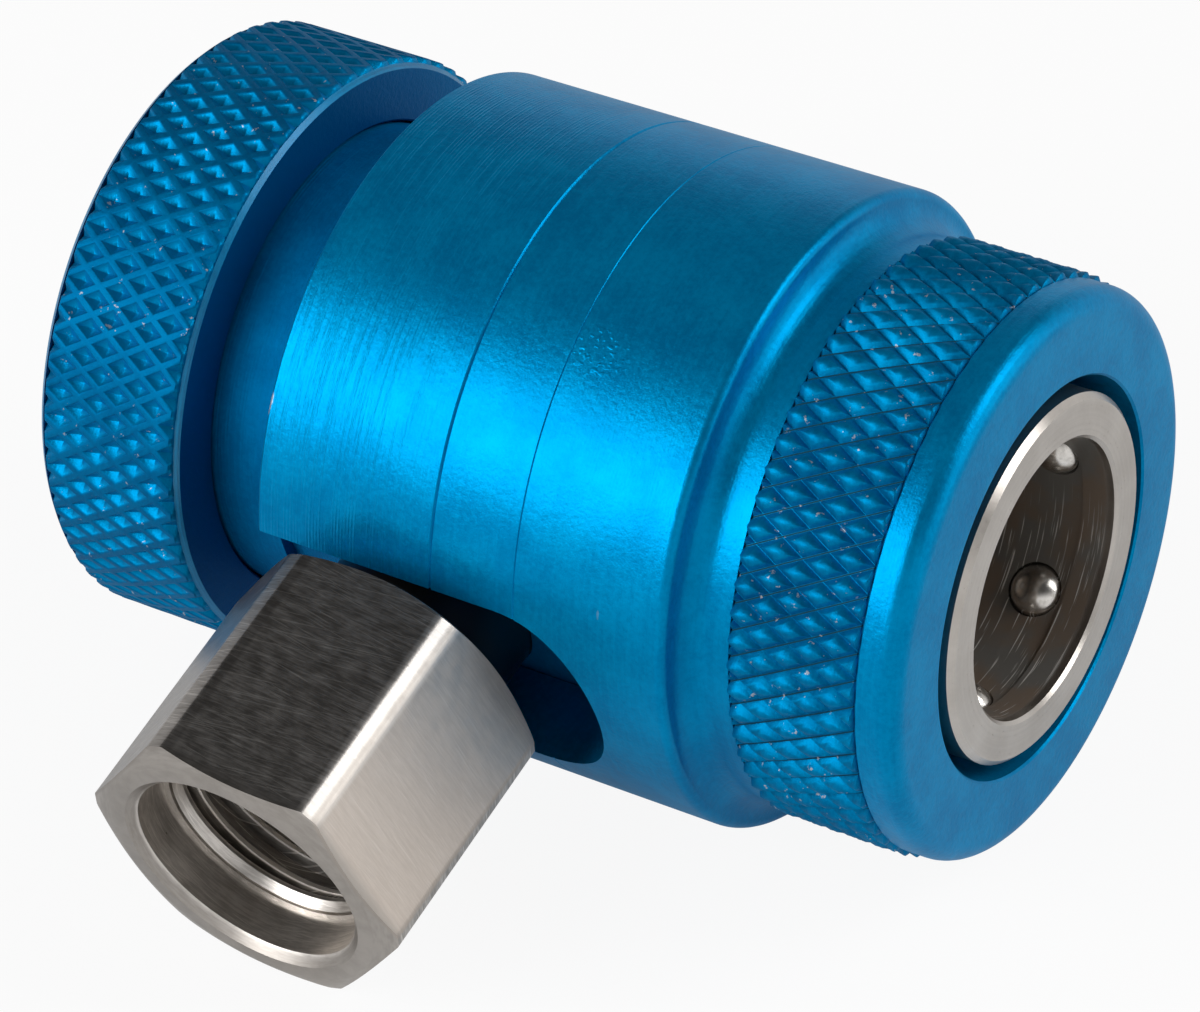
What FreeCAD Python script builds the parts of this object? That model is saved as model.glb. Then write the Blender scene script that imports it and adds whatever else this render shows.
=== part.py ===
import FreeCAD, Part
import math
import os
import Sketcher

# Low side refrigerant service coupler: spring loaded sleeve, ball lock socket,
# side hose port and a hand knob that drives the valve plunger.
# The common axis is X, with the socket's mouth at the origin, open towards +X.
# Stations are distances behind the mouth. The hose port points to -Y and hangs
# down by the angle at which the coupler lies on its barrel and on the hexagon.

BALLS = 6
NOSE_DIAMONDS = 64
KNOB_DIAMONDS = 68

SIZES = {
    # sleeve, outside
    "barrel_r": 15.0,
    "barrel_back": 32.05,
    "barrel_edge": 0.15,
    "sleeve_front": 0.2,
    "nose_step": 0.08,
    "nose_round": 1.0,
    "knurl_height": 0.33,
    "knurl_front": 2.2,
    "knurl_back": 8.5,
    "knurl_depth": 0.38,
    "knurl_step": 1.152,
    "knurl_bed": 0.07,
    "knurl_wall": 0.5,
    "shoulder": 1.78,
    "cove_start": 9.45,
    "cove_r": 1.3,
    "crown_r": 0.45,
    "fine_line": 18.43,
    "fine_line_depth": 0.06,
    "deep_line": 22.79,
    "deep_line_depth": 0.13,
    # sleeve, inside
    "release_clear": 0.03,
    "land_clear": 0.08,
    "guide_clear": 0.05,
    "land_back": 9.0,
    "slot_clear": 0.3,
    "slot_room": 10.8,
    "sleeve_travel": 2.4,
    "stop_clear": 0.05,
    # locking balls
    "ball_stand": 0.208,
    "ball_station": 3.25,
    "ball_proud": 0.5,
    "ball_retract": 0.52,
    "ball_hole_clear": 0.05,
    "ball_neck_clear": 0.05,
    "ball_neck_land": 0.04,
    "ball_seat_depth": 0.3,
    # socket tube
    "socket_r": 6.55,
    "socket_mouth": 0.16,
    "socket_depth": 12.0,
    "tube_wall": 2.07,
    "tube_edge": 0.28,
    "guide_land": 1.75,
    "relief_depth": 0.2,
    "seal_inset": 2.1,
    "seal_wall": 0.77,
    "seal_proud": 0.4,
    "seal_groove_clear": 0.05,
    "diaphragm": 1.5,
    "flange_clear": 0.4,
    "spigot_step": 1.07,
    "spigot_length": 5.0,
    "tube_ring_wire_r": 0.62,
    "tube_ring_groove": 0.55,
    # main body
    "body_r": 11.2,
    "body_front": 16.0,
    "skirt_overlap": 2.2,
    "body_edge": 0.3,
    "thread_gap": 0.05,
    "chamber_r": 4.2,
    "web": 1.1,
    "rear_bore_r": 7.0,
    # stop ring
    "ring_depth": 0.55,
    "ring_width": 0.9,
    "ring_inset": 1.7,
    "ring_channel_depth": 0.6,
    "ring_gap_deg": 62.0,
    # hose port
    "port_offset": 3.7,
    "port_reach": 28.2,
    "hex_flats": 14.0,
    "hex_turn_deg": 8.96,
    "hex_gap": 0.5,
    "hex_round": 0.7,
    "hex_face_r": 6.7,
    "hex_bevel_deg": 20.0,
    "hex_back_bevel_deg": 30.0,
    "port_stem_r": 4.7,
    "port_seat_depth": 1.2,
    "pilot_step": 1.4,
    "pilot_gap": 1.0,
    "port_ring_wire_r": 0.63,
    "mouth_bevel": 0.42,
    "counterbore_step": 0.33,
    "counterbore_depth": 2.5,
    "relief_ring_step": 0.3,
    "relief_ring_width": 0.5,
    "hose_thread_r": 4.95,
    "port_floor": 2.5,
    "flow_r": 1.8,
    # plunger and springs
    "plunger_stand": 0.5,
    "plunger_r": 1.6,
    "plunger_hole_r": 2.3,
    "plunger_flange_r": 3.6,
    "plunger_flange": 1.5,
    "plunger_back": 20.5,
    "plunger_wire_r": 0.25,
    "plunger_coil_r": 2.75,
    "plunger_turns": 5.0,
    "spring_wire_r": 0.4,
    "spring_turns": 4.0,
    "spring_gap": 0.02,
    # stem and bonnet
    "stem_r": 3.0,
    "stem_clear": 0.05,
    "stem_run": 2.7,
    "stem_thread_r": 4.0,
    "stem_thread_length": 3.3,
    "stem_stand": 0.3,
    "stem_square": 4.2,
    "square_clear": 0.03,
    "bonnet_sink": 0.4,
    "bonnet_slot": 1.6,
    "bonnet_slot_depth": 1.5,
    "seal_land": 0.8,
    "bonnet_nose": 1.7,
    "bonnet_ring_wire_r": 0.62,
    "seal_gland": 0.7,
    "stem_ring_wire_r": 0.6,
    "backup_width": 0.5,
    # knob
    "knob_r": 14.33,
    "knob_gap": 5.05,
    "knob_wall": 2.9,
    "knob_face_step": 0.66,
    "knob_front_bevel": 0.25,
    "knob_rim_step": 0.12,
    "knob_back_bevel": 0.4,
    "pit_depth": 0.36,
    "pit_step": 1.035,
    "pit_land": 0.16,
    "pit_bed": 0.17,
    "pit_wall": 0.5,
    "knob_skirt_clear": 0.25,
    "skirt_room": 2.6,
    "recess_r": 5.0,
    "recess_depth": 1.3,
    "washer_r": 4.2,
    "washer_thick": 0.4,
    "screw_head_r": 2.75,
    "screw_head": 0.75,
    "screw_r": 1.5,
    "screw_length": 5.0,
    "screw_socket": 2.0,
    "screw_socket_depth": 0.45,
}

doc = FreeCAD.newDocument("coupler")
dims = doc.addObject("Spreadsheet::Sheet", "dims")
for row, (name, value) in enumerate(SIZES.items(), start=1):
    dims.set("A%d" % row, name)
    dims.set("B%d" % row, str(value))
    dims.setAlias("B%d" % row, name)
doc.recompute()


# Sizes and stations that follow from others, each an expression on the names above it.
TIES = {
    "tube_r": "{socket_r} + {tube_wall}",
    # sleeve
    "waist_r": "{barrel_r} - {shoulder}",
    "nose_r": "{waist_r} + {nose_step}",
    "knurl_r": "{waist_r} + {knurl_height}",
    "knurl_root": "{knurl_r} - {knurl_depth}",
    "knurl_bed_r": "{knurl_root} - {knurl_bed}",
    "knurl_core": "{knurl_bed_r} - {knurl_wall}",
    "crown": "{cove_start} + {cove_r}",
    "land_r": "{tube_r} + {land_clear}",
    "guide_r": "{body_r} + {guide_clear}",
    # locking balls, which span the tube's wall and stand proud on both sides
    "ball_r": "({tube_r} - {socket_r} + {ball_proud} + {ball_stand}) / 2",
    "ball_seat": "{socket_r} + {ball_r} - {ball_proud}",
    "ball_sink": "{ball_proud} + {relief_depth} + {ball_neck_land}",
    "ball_neck_r": "sqrt(2 * {ball_r} * {ball_sink} - {ball_sink} ^ 2) + {ball_neck_clear}",
    "bore_r": "{socket_r} + {relief_depth}",
    "neck_top": "{bore_r} + {ball_neck_land}",
    "ramp": "{ball_retract} / {sleeve_travel}",
    "release_r": "{ball_seat} + {ball_retract} + {ball_r} + {release_clear}",
    "ramp_at_ball": "{ball_seat} + ({ball_r} + {release_clear}) * sqrt(1 + {ramp} ^ 2)",
    "ramp_front": "{ball_station} - ({release_r} - {ramp_at_ball}) / {ramp}",
    "ramp_back": "{ball_station} + ({ramp_at_ball} - {land_r}) / {ramp}",
    # stop ring
    "ring_in": "{body_r} - {ring_depth}",
    "ring_out": "{guide_r} + {ring_depth}",
    "ring_station": "{barrel_back} - {ring_inset}",
    # stations from the barrel's rear edge to the knob's rear face
    "knob_front": "{barrel_back} + {knob_gap}",
    "body_back": "{knob_front} + {skirt_overlap}",
    "knob_floor": "{body_back} + {skirt_room}",
    "knob_back": "{knob_floor} + {knob_wall}",
    "recess_floor": "{knob_back} - {recess_depth}",
    "washer_back": "{recess_floor} + {washer_thick}",
    "pit_bottom": "{knob_r} - {pit_depth}",
    "pit_bed_r": "{pit_bottom} - {pit_bed}",
    "pit_core": "{pit_bed_r} - {pit_wall}",
    "knob_rim_r": "{knob_r} - {knob_rim_step}",
    "knob_face_r": "{knob_r} - {knob_face_step}",
    "knob_bore": "{body_r} + {knob_skirt_clear}",
    # bonnet, stem and its seal, from the body's rear face forwards
    "bonnet_back": "{body_back} - {bonnet_sink}",
    "bonnet_r": "{rear_bore_r} - {thread_gap}",
    "bonnet_nose_r": "{rear_bore_r} - 2 * {bonnet_ring_wire_r}",
    "bonnet_ring_r": "{rear_bore_r} - {bonnet_ring_wire_r}",
    "stem_thread_back": "{bonnet_back} + {stem_stand}",
    "stem_shoulder": "{stem_thread_back} - {stem_thread_length}",
    "stem_front": "{plunger_back} + {stop_clear}",
    "bonnet_thread_front": "{stem_shoulder} - {stem_run}",
    "stem_bore": "{stem_r} + {stem_clear}",
    "stem_ring_r": "{stem_bore} + {stem_ring_wire_r}",
    "stem_groove_r": "{stem_bore} + 2 * {stem_ring_wire_r}",
    "stem_groove_back": "{bonnet_thread_front} - {seal_land}",
    "stem_groove_mid": "{stem_groove_back} - {backup_width}",
    "stem_groove_front": "{stem_groove_mid} - 2 * {stem_ring_wire_r}",
    "web_back": "{stem_groove_front} - {seal_gland}",
    "chamber_back": "{web_back} - {web}",
    "square_half": "{stem_square} / 2",
    "square_hole": "{stem_square} / 2 + {square_clear}",
    # socket tube and its seals
    "seal_station": "{socket_depth} - {seal_inset}",
    "seal_wire_r": "({tube_r} - {seal_wall} - {socket_r} + {seal_proud}) / 2",
    "seal_r": "{socket_r} - {seal_proud} + {seal_wire_r}",
    "seal_groove_r": "{tube_r} - {seal_wall}",
    "seal_half": "{seal_wire_r} + {seal_groove_clear}",
    "spigot_r": "{tube_r} - {spigot_step}",
    "spigot_back": "{body_front} + {spigot_length}",
    "tube_groove_r": "{spigot_r} - {tube_ring_groove}",
    "tube_ring_r": "{tube_groove_r} + {tube_ring_wire_r}",
    "tube_ring_seat": "{tube_groove_r} + 2 * {tube_ring_wire_r}",
    "tube_ring_width": "2 * {tube_ring_wire_r} + 2 * {seal_groove_clear}",
    "passage_r": "{plunger_flange_r} + {flange_clear}",
    "plunger_tip": "{socket_depth} - {plunger_stand}",
    "spring_coil_r": "({tube_r} + {guide_r}) / 2",
    # hose port, with its slot in the sleeve
    "port_station": "{chamber_back} - {port_offset}",
    "slot_half": "{port_stem_r} + {slot_clear}",
    "slot_end": "{port_station} - {slot_room}",
    "port_seat": "{body_r} - {port_seat_depth}",
    "pilot_r": "{port_stem_r} - {pilot_step}",
    "pilot_end": "{chamber_r} + {pilot_gap}",
    "port_ring_r": "{pilot_r} + {port_ring_wire_r}",
    "port_ring_seat": "{pilot_r} + 2 * {port_ring_wire_r}",
    "port_ring_depth": "2 * {port_ring_wire_r}",
    "port_ring_arm": "{port_seat} - {port_ring_wire_r}",
    "hex_back": "{barrel_r} + {hex_gap}",
    "relief_ring_r": "{hose_thread_r} + {relief_ring_step}",
    "counterbore_r": "{relief_ring_r} + {counterbore_step}",
    "port_mouth_r": "{counterbore_r} + {mouth_bevel}",
    "port_step": "{port_reach} - {counterbore_depth}",
    "thread_top": "{port_step} - {relief_ring_width}",
    "thread_floor": "{hex_back} + {port_floor}",
    # roll at which the barrel and the hexagon's lower end corner lie on one level
    "hex_r": "{hex_flats} / sqrt(3) - {hex_round} * (2 / sqrt(3) - 1)",
    "heel_reach": "{port_reach} - ({hex_r} - {hex_face_r}) * tan({hex_bevel_deg} * 1 deg)",
    "heel_drop": "{hex_r} * cos(30 deg - {hex_turn_deg} * 1 deg)",
    "heel_arm": "sqrt({heel_reach} ^ 2 + {heel_drop} ^ 2)",
    "tilt": "asin({barrel_r} / {heel_arm}) - atan({heel_drop} / {heel_reach})",
}


class Names(dict):
    """Turns {barrel_r} into the sheet's cell, and the name of a tie into its expression."""

    def __missing__(self, key):
        return "(" + cell(TIES[key]) + ")" if key in TIES else "dims." + key


def cell(text):
    """Return an expression on the sheet's cells."""
    return text.format_map(Names())


def number(text):
    """Return the present value of an expression on the sheet's cells."""
    value = dims.evalExpression(cell(text))
    return float(getattr(value, "Value", value))


def lean(piece, quarter=""):
    """Roll a piece about the common axis into the pose in which the coupler lies."""
    piece.Placement = FreeCAD.Placement(FreeCAD.Vector(0, 0, 0),
                                        FreeCAD.Rotation(FreeCAD.Vector(1, 0, 0), 10))
    piece.setExpression("Placement.Rotation.Angle", cell("{tilt}" + quarter))


def new_body(label):
    """Start a body that is named as its node."""
    body = doc.addObject("PartDesign::Body", label)
    body.Label = label
    return body


def datum(body, role):
    """Return one of the body's own origin planes or axes."""
    return [item for item in body.Origin.OriginFeatures if item.Role == role][0]


def new_sketch(body, role, name):
    """Add a sketch on one of the body's origin planes."""
    sketch = body.newObject("Sketcher::SketchObject", name)
    sketch.AttachmentSupport = [(datum(body, role), "")]
    sketch.MapMode = "FlatFace"
    return sketch


def pin(sketch, geo, pos, across, up):
    """Tie a point of a sketch to two expressions."""
    for kind, axis, text in (("DistanceX", -2, across), ("DistanceY", -1, up)):
        value = number(text)
        if text == "0":
            sketch.addConstraint(Sketcher.Constraint("PointOnObject", geo, pos, axis))
        else:
            index = sketch.addConstraint(Sketcher.Constraint(kind, -1, 1, geo, pos, value))
            sketch.setExpression("Constraints[%d]" % index, cell(text))


def outline(sketch, points):
    """Draw a closed loop of lines and arcs.

    Each point is (across, up), or (across, up, radius, side) where an arc leads
    to it: side is 1 for an arc that turns left and -1 for one that turns right.
    """
    spots = [FreeCAD.Vector(number(p[0]), number(p[1]), 0) for p in points]
    count = len(points)
    ends = []
    for i in range(count):
        start = spots[i]
        stop = spots[(i + 1) % count]
        target = points[(i + 1) % count]
        if len(target) == 2:
            geo = sketch.addGeometry(Part.LineSegment(start, stop), False)
            ends.append((geo, 1, 2))
            continue
        radius = number(target[2])
        chord = stop - start
        half = chord.Length / 2
        left = FreeCAD.Vector(-chord.y, chord.x, 0).normalize()
        centre = (start + stop) / 2 + left * target[3] * math.sqrt(max(radius ** 2 - half ** 2, 0))
        first, last = (start, stop) if target[3] > 0 else (stop, start)
        turn = [math.atan2(p.y - centre.y, p.x - centre.x) for p in (first, last)]
        if turn[1] < turn[0]:
            turn[1] += 2 * math.pi
        circle = Part.Circle(centre, FreeCAD.Vector(0, 0, 1), radius)
        geo = sketch.addGeometry(Part.ArcOfCircle(circle, turn[0], turn[1]), False)
        ends.append((geo, 1, 2) if target[3] > 0 else (geo, 2, 1))
        index = sketch.addConstraint(Sketcher.Constraint("Radius", geo, radius))
        sketch.setExpression("Constraints[%d]" % index, cell(target[2]))
    for i in range(count):
        follow = ends[(i + 1) % count]
        sketch.addConstraint(
            Sketcher.Constraint("Coincident", ends[i][0], ends[i][2], follow[0], follow[1]))
    for i in range(count):
        pin(sketch, ends[i][0], ends[i][1], points[i][0], points[i][1])


def turned(body, kind, name, points, role="XZ_Plane", axis="H_Axis"):
    """Add or cut a solid of revolution whose half section is a loop of points."""
    sketch = new_sketch(body, role, name + "_section")
    outline(sketch, points)
    doc.recompute()
    feature = body.newObject("PartDesign::" + kind, name)
    feature.Profile = sketch
    feature.ReferenceAxis = (sketch, [axis])
    feature.Angle = 360
    body.Tip = feature
    doc.recompute()
    return feature


def must_cut(body, before, what):
    """Stop the build if a cut took nothing away."""
    doc.recompute()
    if body.Shape.Volume > before - 1e-4:
        raise RuntimeError(what + " cut nothing")


def new_ring(label, ring_r, wire_r, station):
    """Add an O-ring on the common axis."""
    ring = doc.addObject("Part::Torus", label)
    ring.Label = label
    ring.setExpression("Radius1", cell(ring_r))
    ring.setExpression("Radius2", cell(wire_r))
    ring.Placement = FreeCAD.Placement(FreeCAD.Vector(0, 0, 0),
                                       FreeCAD.Rotation(FreeCAD.Vector(0, 1, 0), 90))
    ring.setExpression("Placement.Base.x", cell("-" + station))
    return ring


def new_coil(label, coil_r, wire_r, front, back, turns):
    """Add a compression spring between two stations."""
    body = new_body(label)
    sketch = new_sketch(body, "XZ_Plane", label + "_wire")
    circle = Part.Circle(FreeCAD.Vector(-number(back + " - " + wire_r), number(coil_r), 0),
                         FreeCAD.Vector(0, 0, 1), number(wire_r))
    geo = sketch.addGeometry(circle, False)
    index = sketch.addConstraint(Sketcher.Constraint("Radius", geo, number(wire_r)))
    sketch.setExpression("Constraints[%d]" % index, cell(wire_r))
    pin(sketch, geo, 3, "-(" + back + " - " + wire_r + ")", coil_r)
    doc.recompute()
    coil = body.newObject("PartDesign::AdditiveHelix", label + "_coil")
    coil.Profile = sketch
    coil.ReferenceAxis = (sketch, ["H_Axis"])
    coil.Mode = 1
    span = "(" + back + " - " + front + " - 2 * " + wire_r + ")"
    coil.setExpression("Pitch", cell(span + " / " + turns))
    coil.setExpression("Turns", cell(turns))
    coil.Pitch = number(span + " / " + turns)
    coil.Turns = number(turns)
    body.Tip = coil
    doc.recompute()
    lean(body)
    return body


def rolled_ring(label, count, step, front, back, edge_r, hub_r, core_r, land=0.0):
    """Add a ring whose outside is a rolled diamond pattern.

    One diamond's flat faces are copied round the axis, column by column. Its
    corners lie on the cylinder edge_r, and it rises or sinks to hub_r in its
    middle. land is the width along the axis, from its tips inwards, that stays
    level. The two ends are trimmed square.
    """
    step, front, back, edge_r, hub_r, core_r = (
        number(text) for text in (step, front, back, edge_r, hub_r, core_r))
    half = math.pi / count
    share = number(land) / step if land else 0.0
    centre = FreeCAD.Vector(0, 0, 0)
    axis = FreeCAD.Vector(1, 0, 0)

    def spot(station, turn, radius):
        return FreeCAD.Vector(-station, radius * math.sin(turn), radius * math.cos(turn))

    def trim(loop, station, way):
        kept = []
        for here, there in zip(loop, loop[1:] + loop[:1]):
            a, b = (way * (-point.x - station) for point in (here, there))
            if a >= 0:
                kept.append(here)
            if a * b < 0:
                kept.append(here + (there - here) * (a / (a - b)))
        return kept

    faces = []
    rims = {front: [], back: []}
    for column in range(int((back - front) / step) + 2):
        station, turn = front + column * step, half * (column % 2)
        corners = [spot(station - step, turn, edge_r), spot(station, turn + half, edge_r),
                   spot(station + step, turn, edge_r), spot(station, turn - half, edge_r)]
        level, hub = spot(station, turn, edge_r), spot(station, turn, hub_r)
        inner = [corner + (level - corner) * share for corner in corners]
        loops = [[inner[k], inner[k - 3], hub] for k in range(4)]
        if share:
            loops += [[corners[k], corners[k - 3], inner[k - 3], inner[k]] for k in range(4)]
        for loop in loops:
            loop = trim(trim(loop, front, 1), back, -1)
            if len(loop) < 3:
                continue
            face = Part.Face(Part.makePolygon(loop + loop[:1]))
            faces += [face.rotated(centre, axis, 360.0 * copy / count) for copy in range(count)]
            for end, rim in rims.items():
                rim += [point for point in loop if abs(point.x + end) < 1e-7]
    core = Part.makeCylinder(core_r, back - front, FreeCAD.Vector(-back, 0, 0), axis)
    faces += [face for face in core.Faces if isinstance(face.Surface, Part.Cylinder)]
    for end, rim in rims.items():
        around = {}
        for point in rim:
            for copy in range(count):
                turn = (math.atan2(point.y, point.z) + 2 * half * copy) % (2 * math.pi)
                around.setdefault(round(turn, 6) % round(2 * math.pi, 6),
                                  spot(end, turn, math.hypot(point.y, point.z)))
        points = [around[turn] for turn in sorted(around)]
        edge = Part.makePolygon(points + points[:1])
        hole = Part.Wire(Part.makeCircle(core_r, FreeCAD.Vector(-end, 0, 0), axis))
        faces.append(Part.makeFace([edge, hole], "Part::FaceMakerBullseye"))
    skin = Part.Compound(faces)
    skin.sewShape()
    solid = Part.Solid(skin if skin.ShapeType == "Shell" else skin.Shells[0])
    if solid.Volume < 0:
        solid.reverse()
    ring = doc.addObject("Part::Feature", label)
    ring.Shape = solid
    return ring


# Sleeve: one turned piece from the front rim to the barrel's rear edge, with
# raised diamonds rolled on its nose.
sleeve = new_body("sleeve")
sleeve.BaseFeature = rolled_ring("nose_diamonds", NOSE_DIAMONDS, "{knurl_step}", "{knurl_front}", "{knurl_back}",
                                 "{knurl_root}", "{knurl_r}", "{knurl_core}")
doc.recompute()
turned(sleeve, "Revolution", "sleeve_turning", [
    ("-{sleeve_front}", "{release_r}"),
    ("-{sleeve_front}", "{nose_r} - {nose_round}"),
    ("-{sleeve_front} - {nose_round}", "{nose_r}", "{nose_round}", 1),
    ("-{knurl_front}", "{nose_r}"),
    ("-{knurl_front}", "{knurl_bed_r}"),
    ("-{knurl_back}", "{knurl_bed_r}"),
    ("-{knurl_back}", "{waist_r}"),
    ("-{cove_start}", "{waist_r}"),
    ("-{crown}", "{waist_r} + {cove_r}", "{cove_r}", -1),
    ("-{crown}", "{barrel_r} - {crown_r}"),
    ("-{crown} - {crown_r}", "{barrel_r}", "{crown_r}", 1),
    ("-{fine_line} + {fine_line_depth}", "{barrel_r}"),
    ("-{fine_line}", "{barrel_r} - {fine_line_depth}"),
    ("-{fine_line} - {fine_line_depth}", "{barrel_r}"),
    ("-{deep_line} + {deep_line_depth}", "{barrel_r}"),
    ("-{deep_line}", "{barrel_r} - {deep_line_depth}"),
    ("-{deep_line} - {deep_line_depth}", "{barrel_r}"),
    ("-{barrel_back} + {barrel_edge}", "{barrel_r}"),
    ("-{barrel_back}", "{barrel_r} - {barrel_edge}"),
    ("-{barrel_back}", "{guide_r}"),
    ("-{ring_station} - {ring_width} - {stop_clear}", "{guide_r}"),
    ("-{ring_station} - {ring_width} - {stop_clear}", "{ring_out} + {stop_clear}"),
    ("-{ring_station} + {stop_clear}", "{ring_out} + {stop_clear}"),
    ("-{ring_station} + {stop_clear}", "{guide_r}"),
    ("-{land_back}", "{guide_r}"),
    ("-{land_back}", "{land_r}"),
    ("-{ramp_back}", "{land_r}"),
    ("-{ramp_front}", "{release_r}"),
])
whole = sleeve.Shape.Volume
slot_sketch = new_sketch(sleeve, "XZ_Plane", "slot_outline")
outline(slot_sketch, [
    ("-{barrel_back} - {slot_half}", "-{slot_half}"),
    ("-{slot_end} - {slot_half}", "-{slot_half}"),
    ("-{slot_end}", "0", "{slot_half}", 1),
    ("-{slot_end} - {slot_half}", "{slot_half}", "{slot_half}", 1),
    ("-{barrel_back} - {slot_half}", "{slot_half}"),
])
doc.recompute()
slot = sleeve.newObject("PartDesign::Pocket", "port_slot")
slot.Profile = slot_sketch
slot.Type = 0
slot.setExpression("Length", cell("{barrel_r} + {slot_half}"))
slot.Reversed = True
sleeve.Tip = slot
must_cut(sleeve, whole, "port slot")
lean(sleeve)

# Main body: slides inside the sleeve and carries everything else.
main_body = new_body("main_body")
turned(main_body, "Revolution", "body_turning", [
    ("-{body_front}", "{tube_ring_seat}"),
    ("-{body_front}", "{body_r} - {body_edge}"),
    ("-{body_front} - {body_edge}", "{body_r}"),
    ("-{ring_station} + {stop_clear}", "{body_r}"),
    ("-{ring_station} + {stop_clear}", "{body_r} - {ring_channel_depth}"),
    ("-{ring_station} - {ring_width} - {sleeve_travel} - 5 * {stop_clear}",
     "{body_r} - {ring_channel_depth}"),
    ("-{ring_station} - {ring_width} - {sleeve_travel} - 5 * {stop_clear}", "{body_r}"),
    ("-{body_back} + {body_edge}", "{body_r}"),
    ("-{body_back}", "{body_r} - {body_edge}"),
    ("-{body_back}", "{rear_bore_r}"),
    ("-{web_back}", "{rear_bore_r}"),
    ("-{web_back}", "{stem_bore}"),
    ("-{chamber_back}", "{stem_bore}"),
    ("-{chamber_back}", "{chamber_r}"),
    ("-{spigot_back}", "{chamber_r}"),
    ("-{spigot_back}", "{spigot_r} + {thread_gap}"),
    ("-{body_front} - {tube_ring_width}", "{spigot_r} + {thread_gap}"),
    ("-{body_front} - {tube_ring_width}", "{tube_ring_seat}"),
])
whole = main_body.Shape.Volume
port_hole_sketch = new_sketch(main_body, "XY_Plane", "port_hole_section")
outline(port_hole_sketch, [
    ("-{port_station}", "0"),
    ("-{port_station} + {pilot_r} + {thread_gap}", "0"),
    ("-{port_station} + {pilot_r} + {thread_gap}", "-{port_seat} + {port_ring_depth}"),
    ("-{port_station} + {port_ring_seat}", "-{port_seat} + {port_ring_depth}"),
    ("-{port_station} + {port_ring_seat}", "-{port_seat}"),
    ("-{port_station} + {port_stem_r} + {thread_gap}", "-{port_seat}"),
    ("-{port_station} + {port_stem_r} + {thread_gap}", "-{barrel_r}"),
    ("-{port_station}", "-{barrel_r}"),
])
centre_line = port_hole_sketch.addGeometry(
    Part.LineSegment(FreeCAD.Vector(-number("{port_station}"), -number("{barrel_r}"), 0),
                     FreeCAD.Vector(-number("{port_station}"), 0, 0)), True)
pin(port_hole_sketch, centre_line, 1, "-{port_station}", "-{barrel_r}")
pin(port_hole_sketch, centre_line, 2, "-{port_station}", "0")
doc.recompute()
port_hole = main_body.newObject("PartDesign::Groove", "port_hole")
port_hole.Profile = port_hole_sketch
port_hole.ReferenceAxis = (port_hole_sketch, ["Axis0"])
port_hole.Angle = 360
main_body.Tip = port_hole
must_cut(main_body, whole, "port hole")
lean(main_body)

# Socket tube: guides the car's port and holds the balls in tapered seats.
socket_tube = new_body("socket_tube")
turned(socket_tube, "Revolution", "tube_turning", [
    ("0", "{socket_r} + {socket_mouth}"),
    ("0", "{tube_r} - {tube_edge}"),
    ("-{tube_edge}", "{tube_r}"),
    ("-{body_front}", "{tube_r}"),
    ("-{body_front}", "{tube_groove_r}"),
    ("-{body_front} - {tube_ring_width}", "{tube_groove_r}"),
    ("-{body_front} - {tube_ring_width}", "{spigot_r}"),
    ("-{spigot_back}", "{spigot_r}"),
    ("-{spigot_back}", "{passage_r}"),
    ("-{socket_depth} - {diaphragm}", "{passage_r}"),
    ("-{socket_depth} - {diaphragm}", "{plunger_hole_r}"),
    ("-{socket_depth}", "{plunger_hole_r}"),
    ("-{socket_depth}", "{bore_r}"),
    ("-{seal_station} - {seal_half}", "{bore_r}"),
    ("-{seal_station} - {seal_half}", "{seal_groove_r}"),
    ("-{seal_station} + {seal_half}", "{seal_groove_r}"),
    ("-{seal_station} + {seal_half}", "{bore_r}"),
    ("-{guide_land}", "{bore_r}"),
    ("-{guide_land}", "{socket_r}"),
    ("-{socket_mouth}", "{socket_r}"),
])
whole = socket_tube.Shape.Volume
seat_sketch = new_sketch(socket_tube, "XY_Plane", "ball_seat_section")
outline(seat_sketch, [
    ("-{ball_station}", "-{socket_r} + {ball_proud}"),
    ("-{ball_station} + {ball_neck_r}", "-{socket_r} + {ball_proud}"),
    ("-{ball_station} + {ball_neck_r}", "-{neck_top}"),
    ("-{ball_station} + {ball_r} + {ball_hole_clear}", "-{neck_top} - {ball_seat_depth}"),
    ("-{ball_station} + {ball_r} + {ball_hole_clear}", "-{tube_r} - {ball_r}"),
    ("-{ball_station}", "-{tube_r} - {ball_r}"),
])
seat_line = seat_sketch.addGeometry(
    Part.LineSegment(FreeCAD.Vector(-number("{ball_station}"), -number("{tube_r}") - 1, 0),
                     FreeCAD.Vector(-number("{ball_station}"), -number("{socket_r}") + 1, 0)), True)
pin(seat_sketch, seat_line, 1, "-{ball_station}", "-{tube_r} - {ball_r}")
pin(seat_sketch, seat_line, 2, "-{ball_station}", "-{socket_r} + {ball_proud}")
doc.recompute()
seat = socket_tube.newObject("PartDesign::Groove", "ball_seat")
seat.Profile = seat_sketch
seat.ReferenceAxis = (seat_sketch, ["Axis0"])
seat.Angle = 360
socket_tube.Tip = seat
must_cut(socket_tube, whole, "ball seat")
one_seat = whole - socket_tube.Shape.Volume
seats = socket_tube.newObject("PartDesign::PolarPattern", "ball_seats")
seats.Originals = [seat]
seats.Axis = (datum(socket_tube, "X_Axis"), [""])
seats.Angle = 360
seats.Occurrences = BALLS
socket_tube.Tip = seats
must_cut(socket_tube, whole - one_seat * (BALLS - 1.5), "ball seats")
lean(socket_tube)

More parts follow.
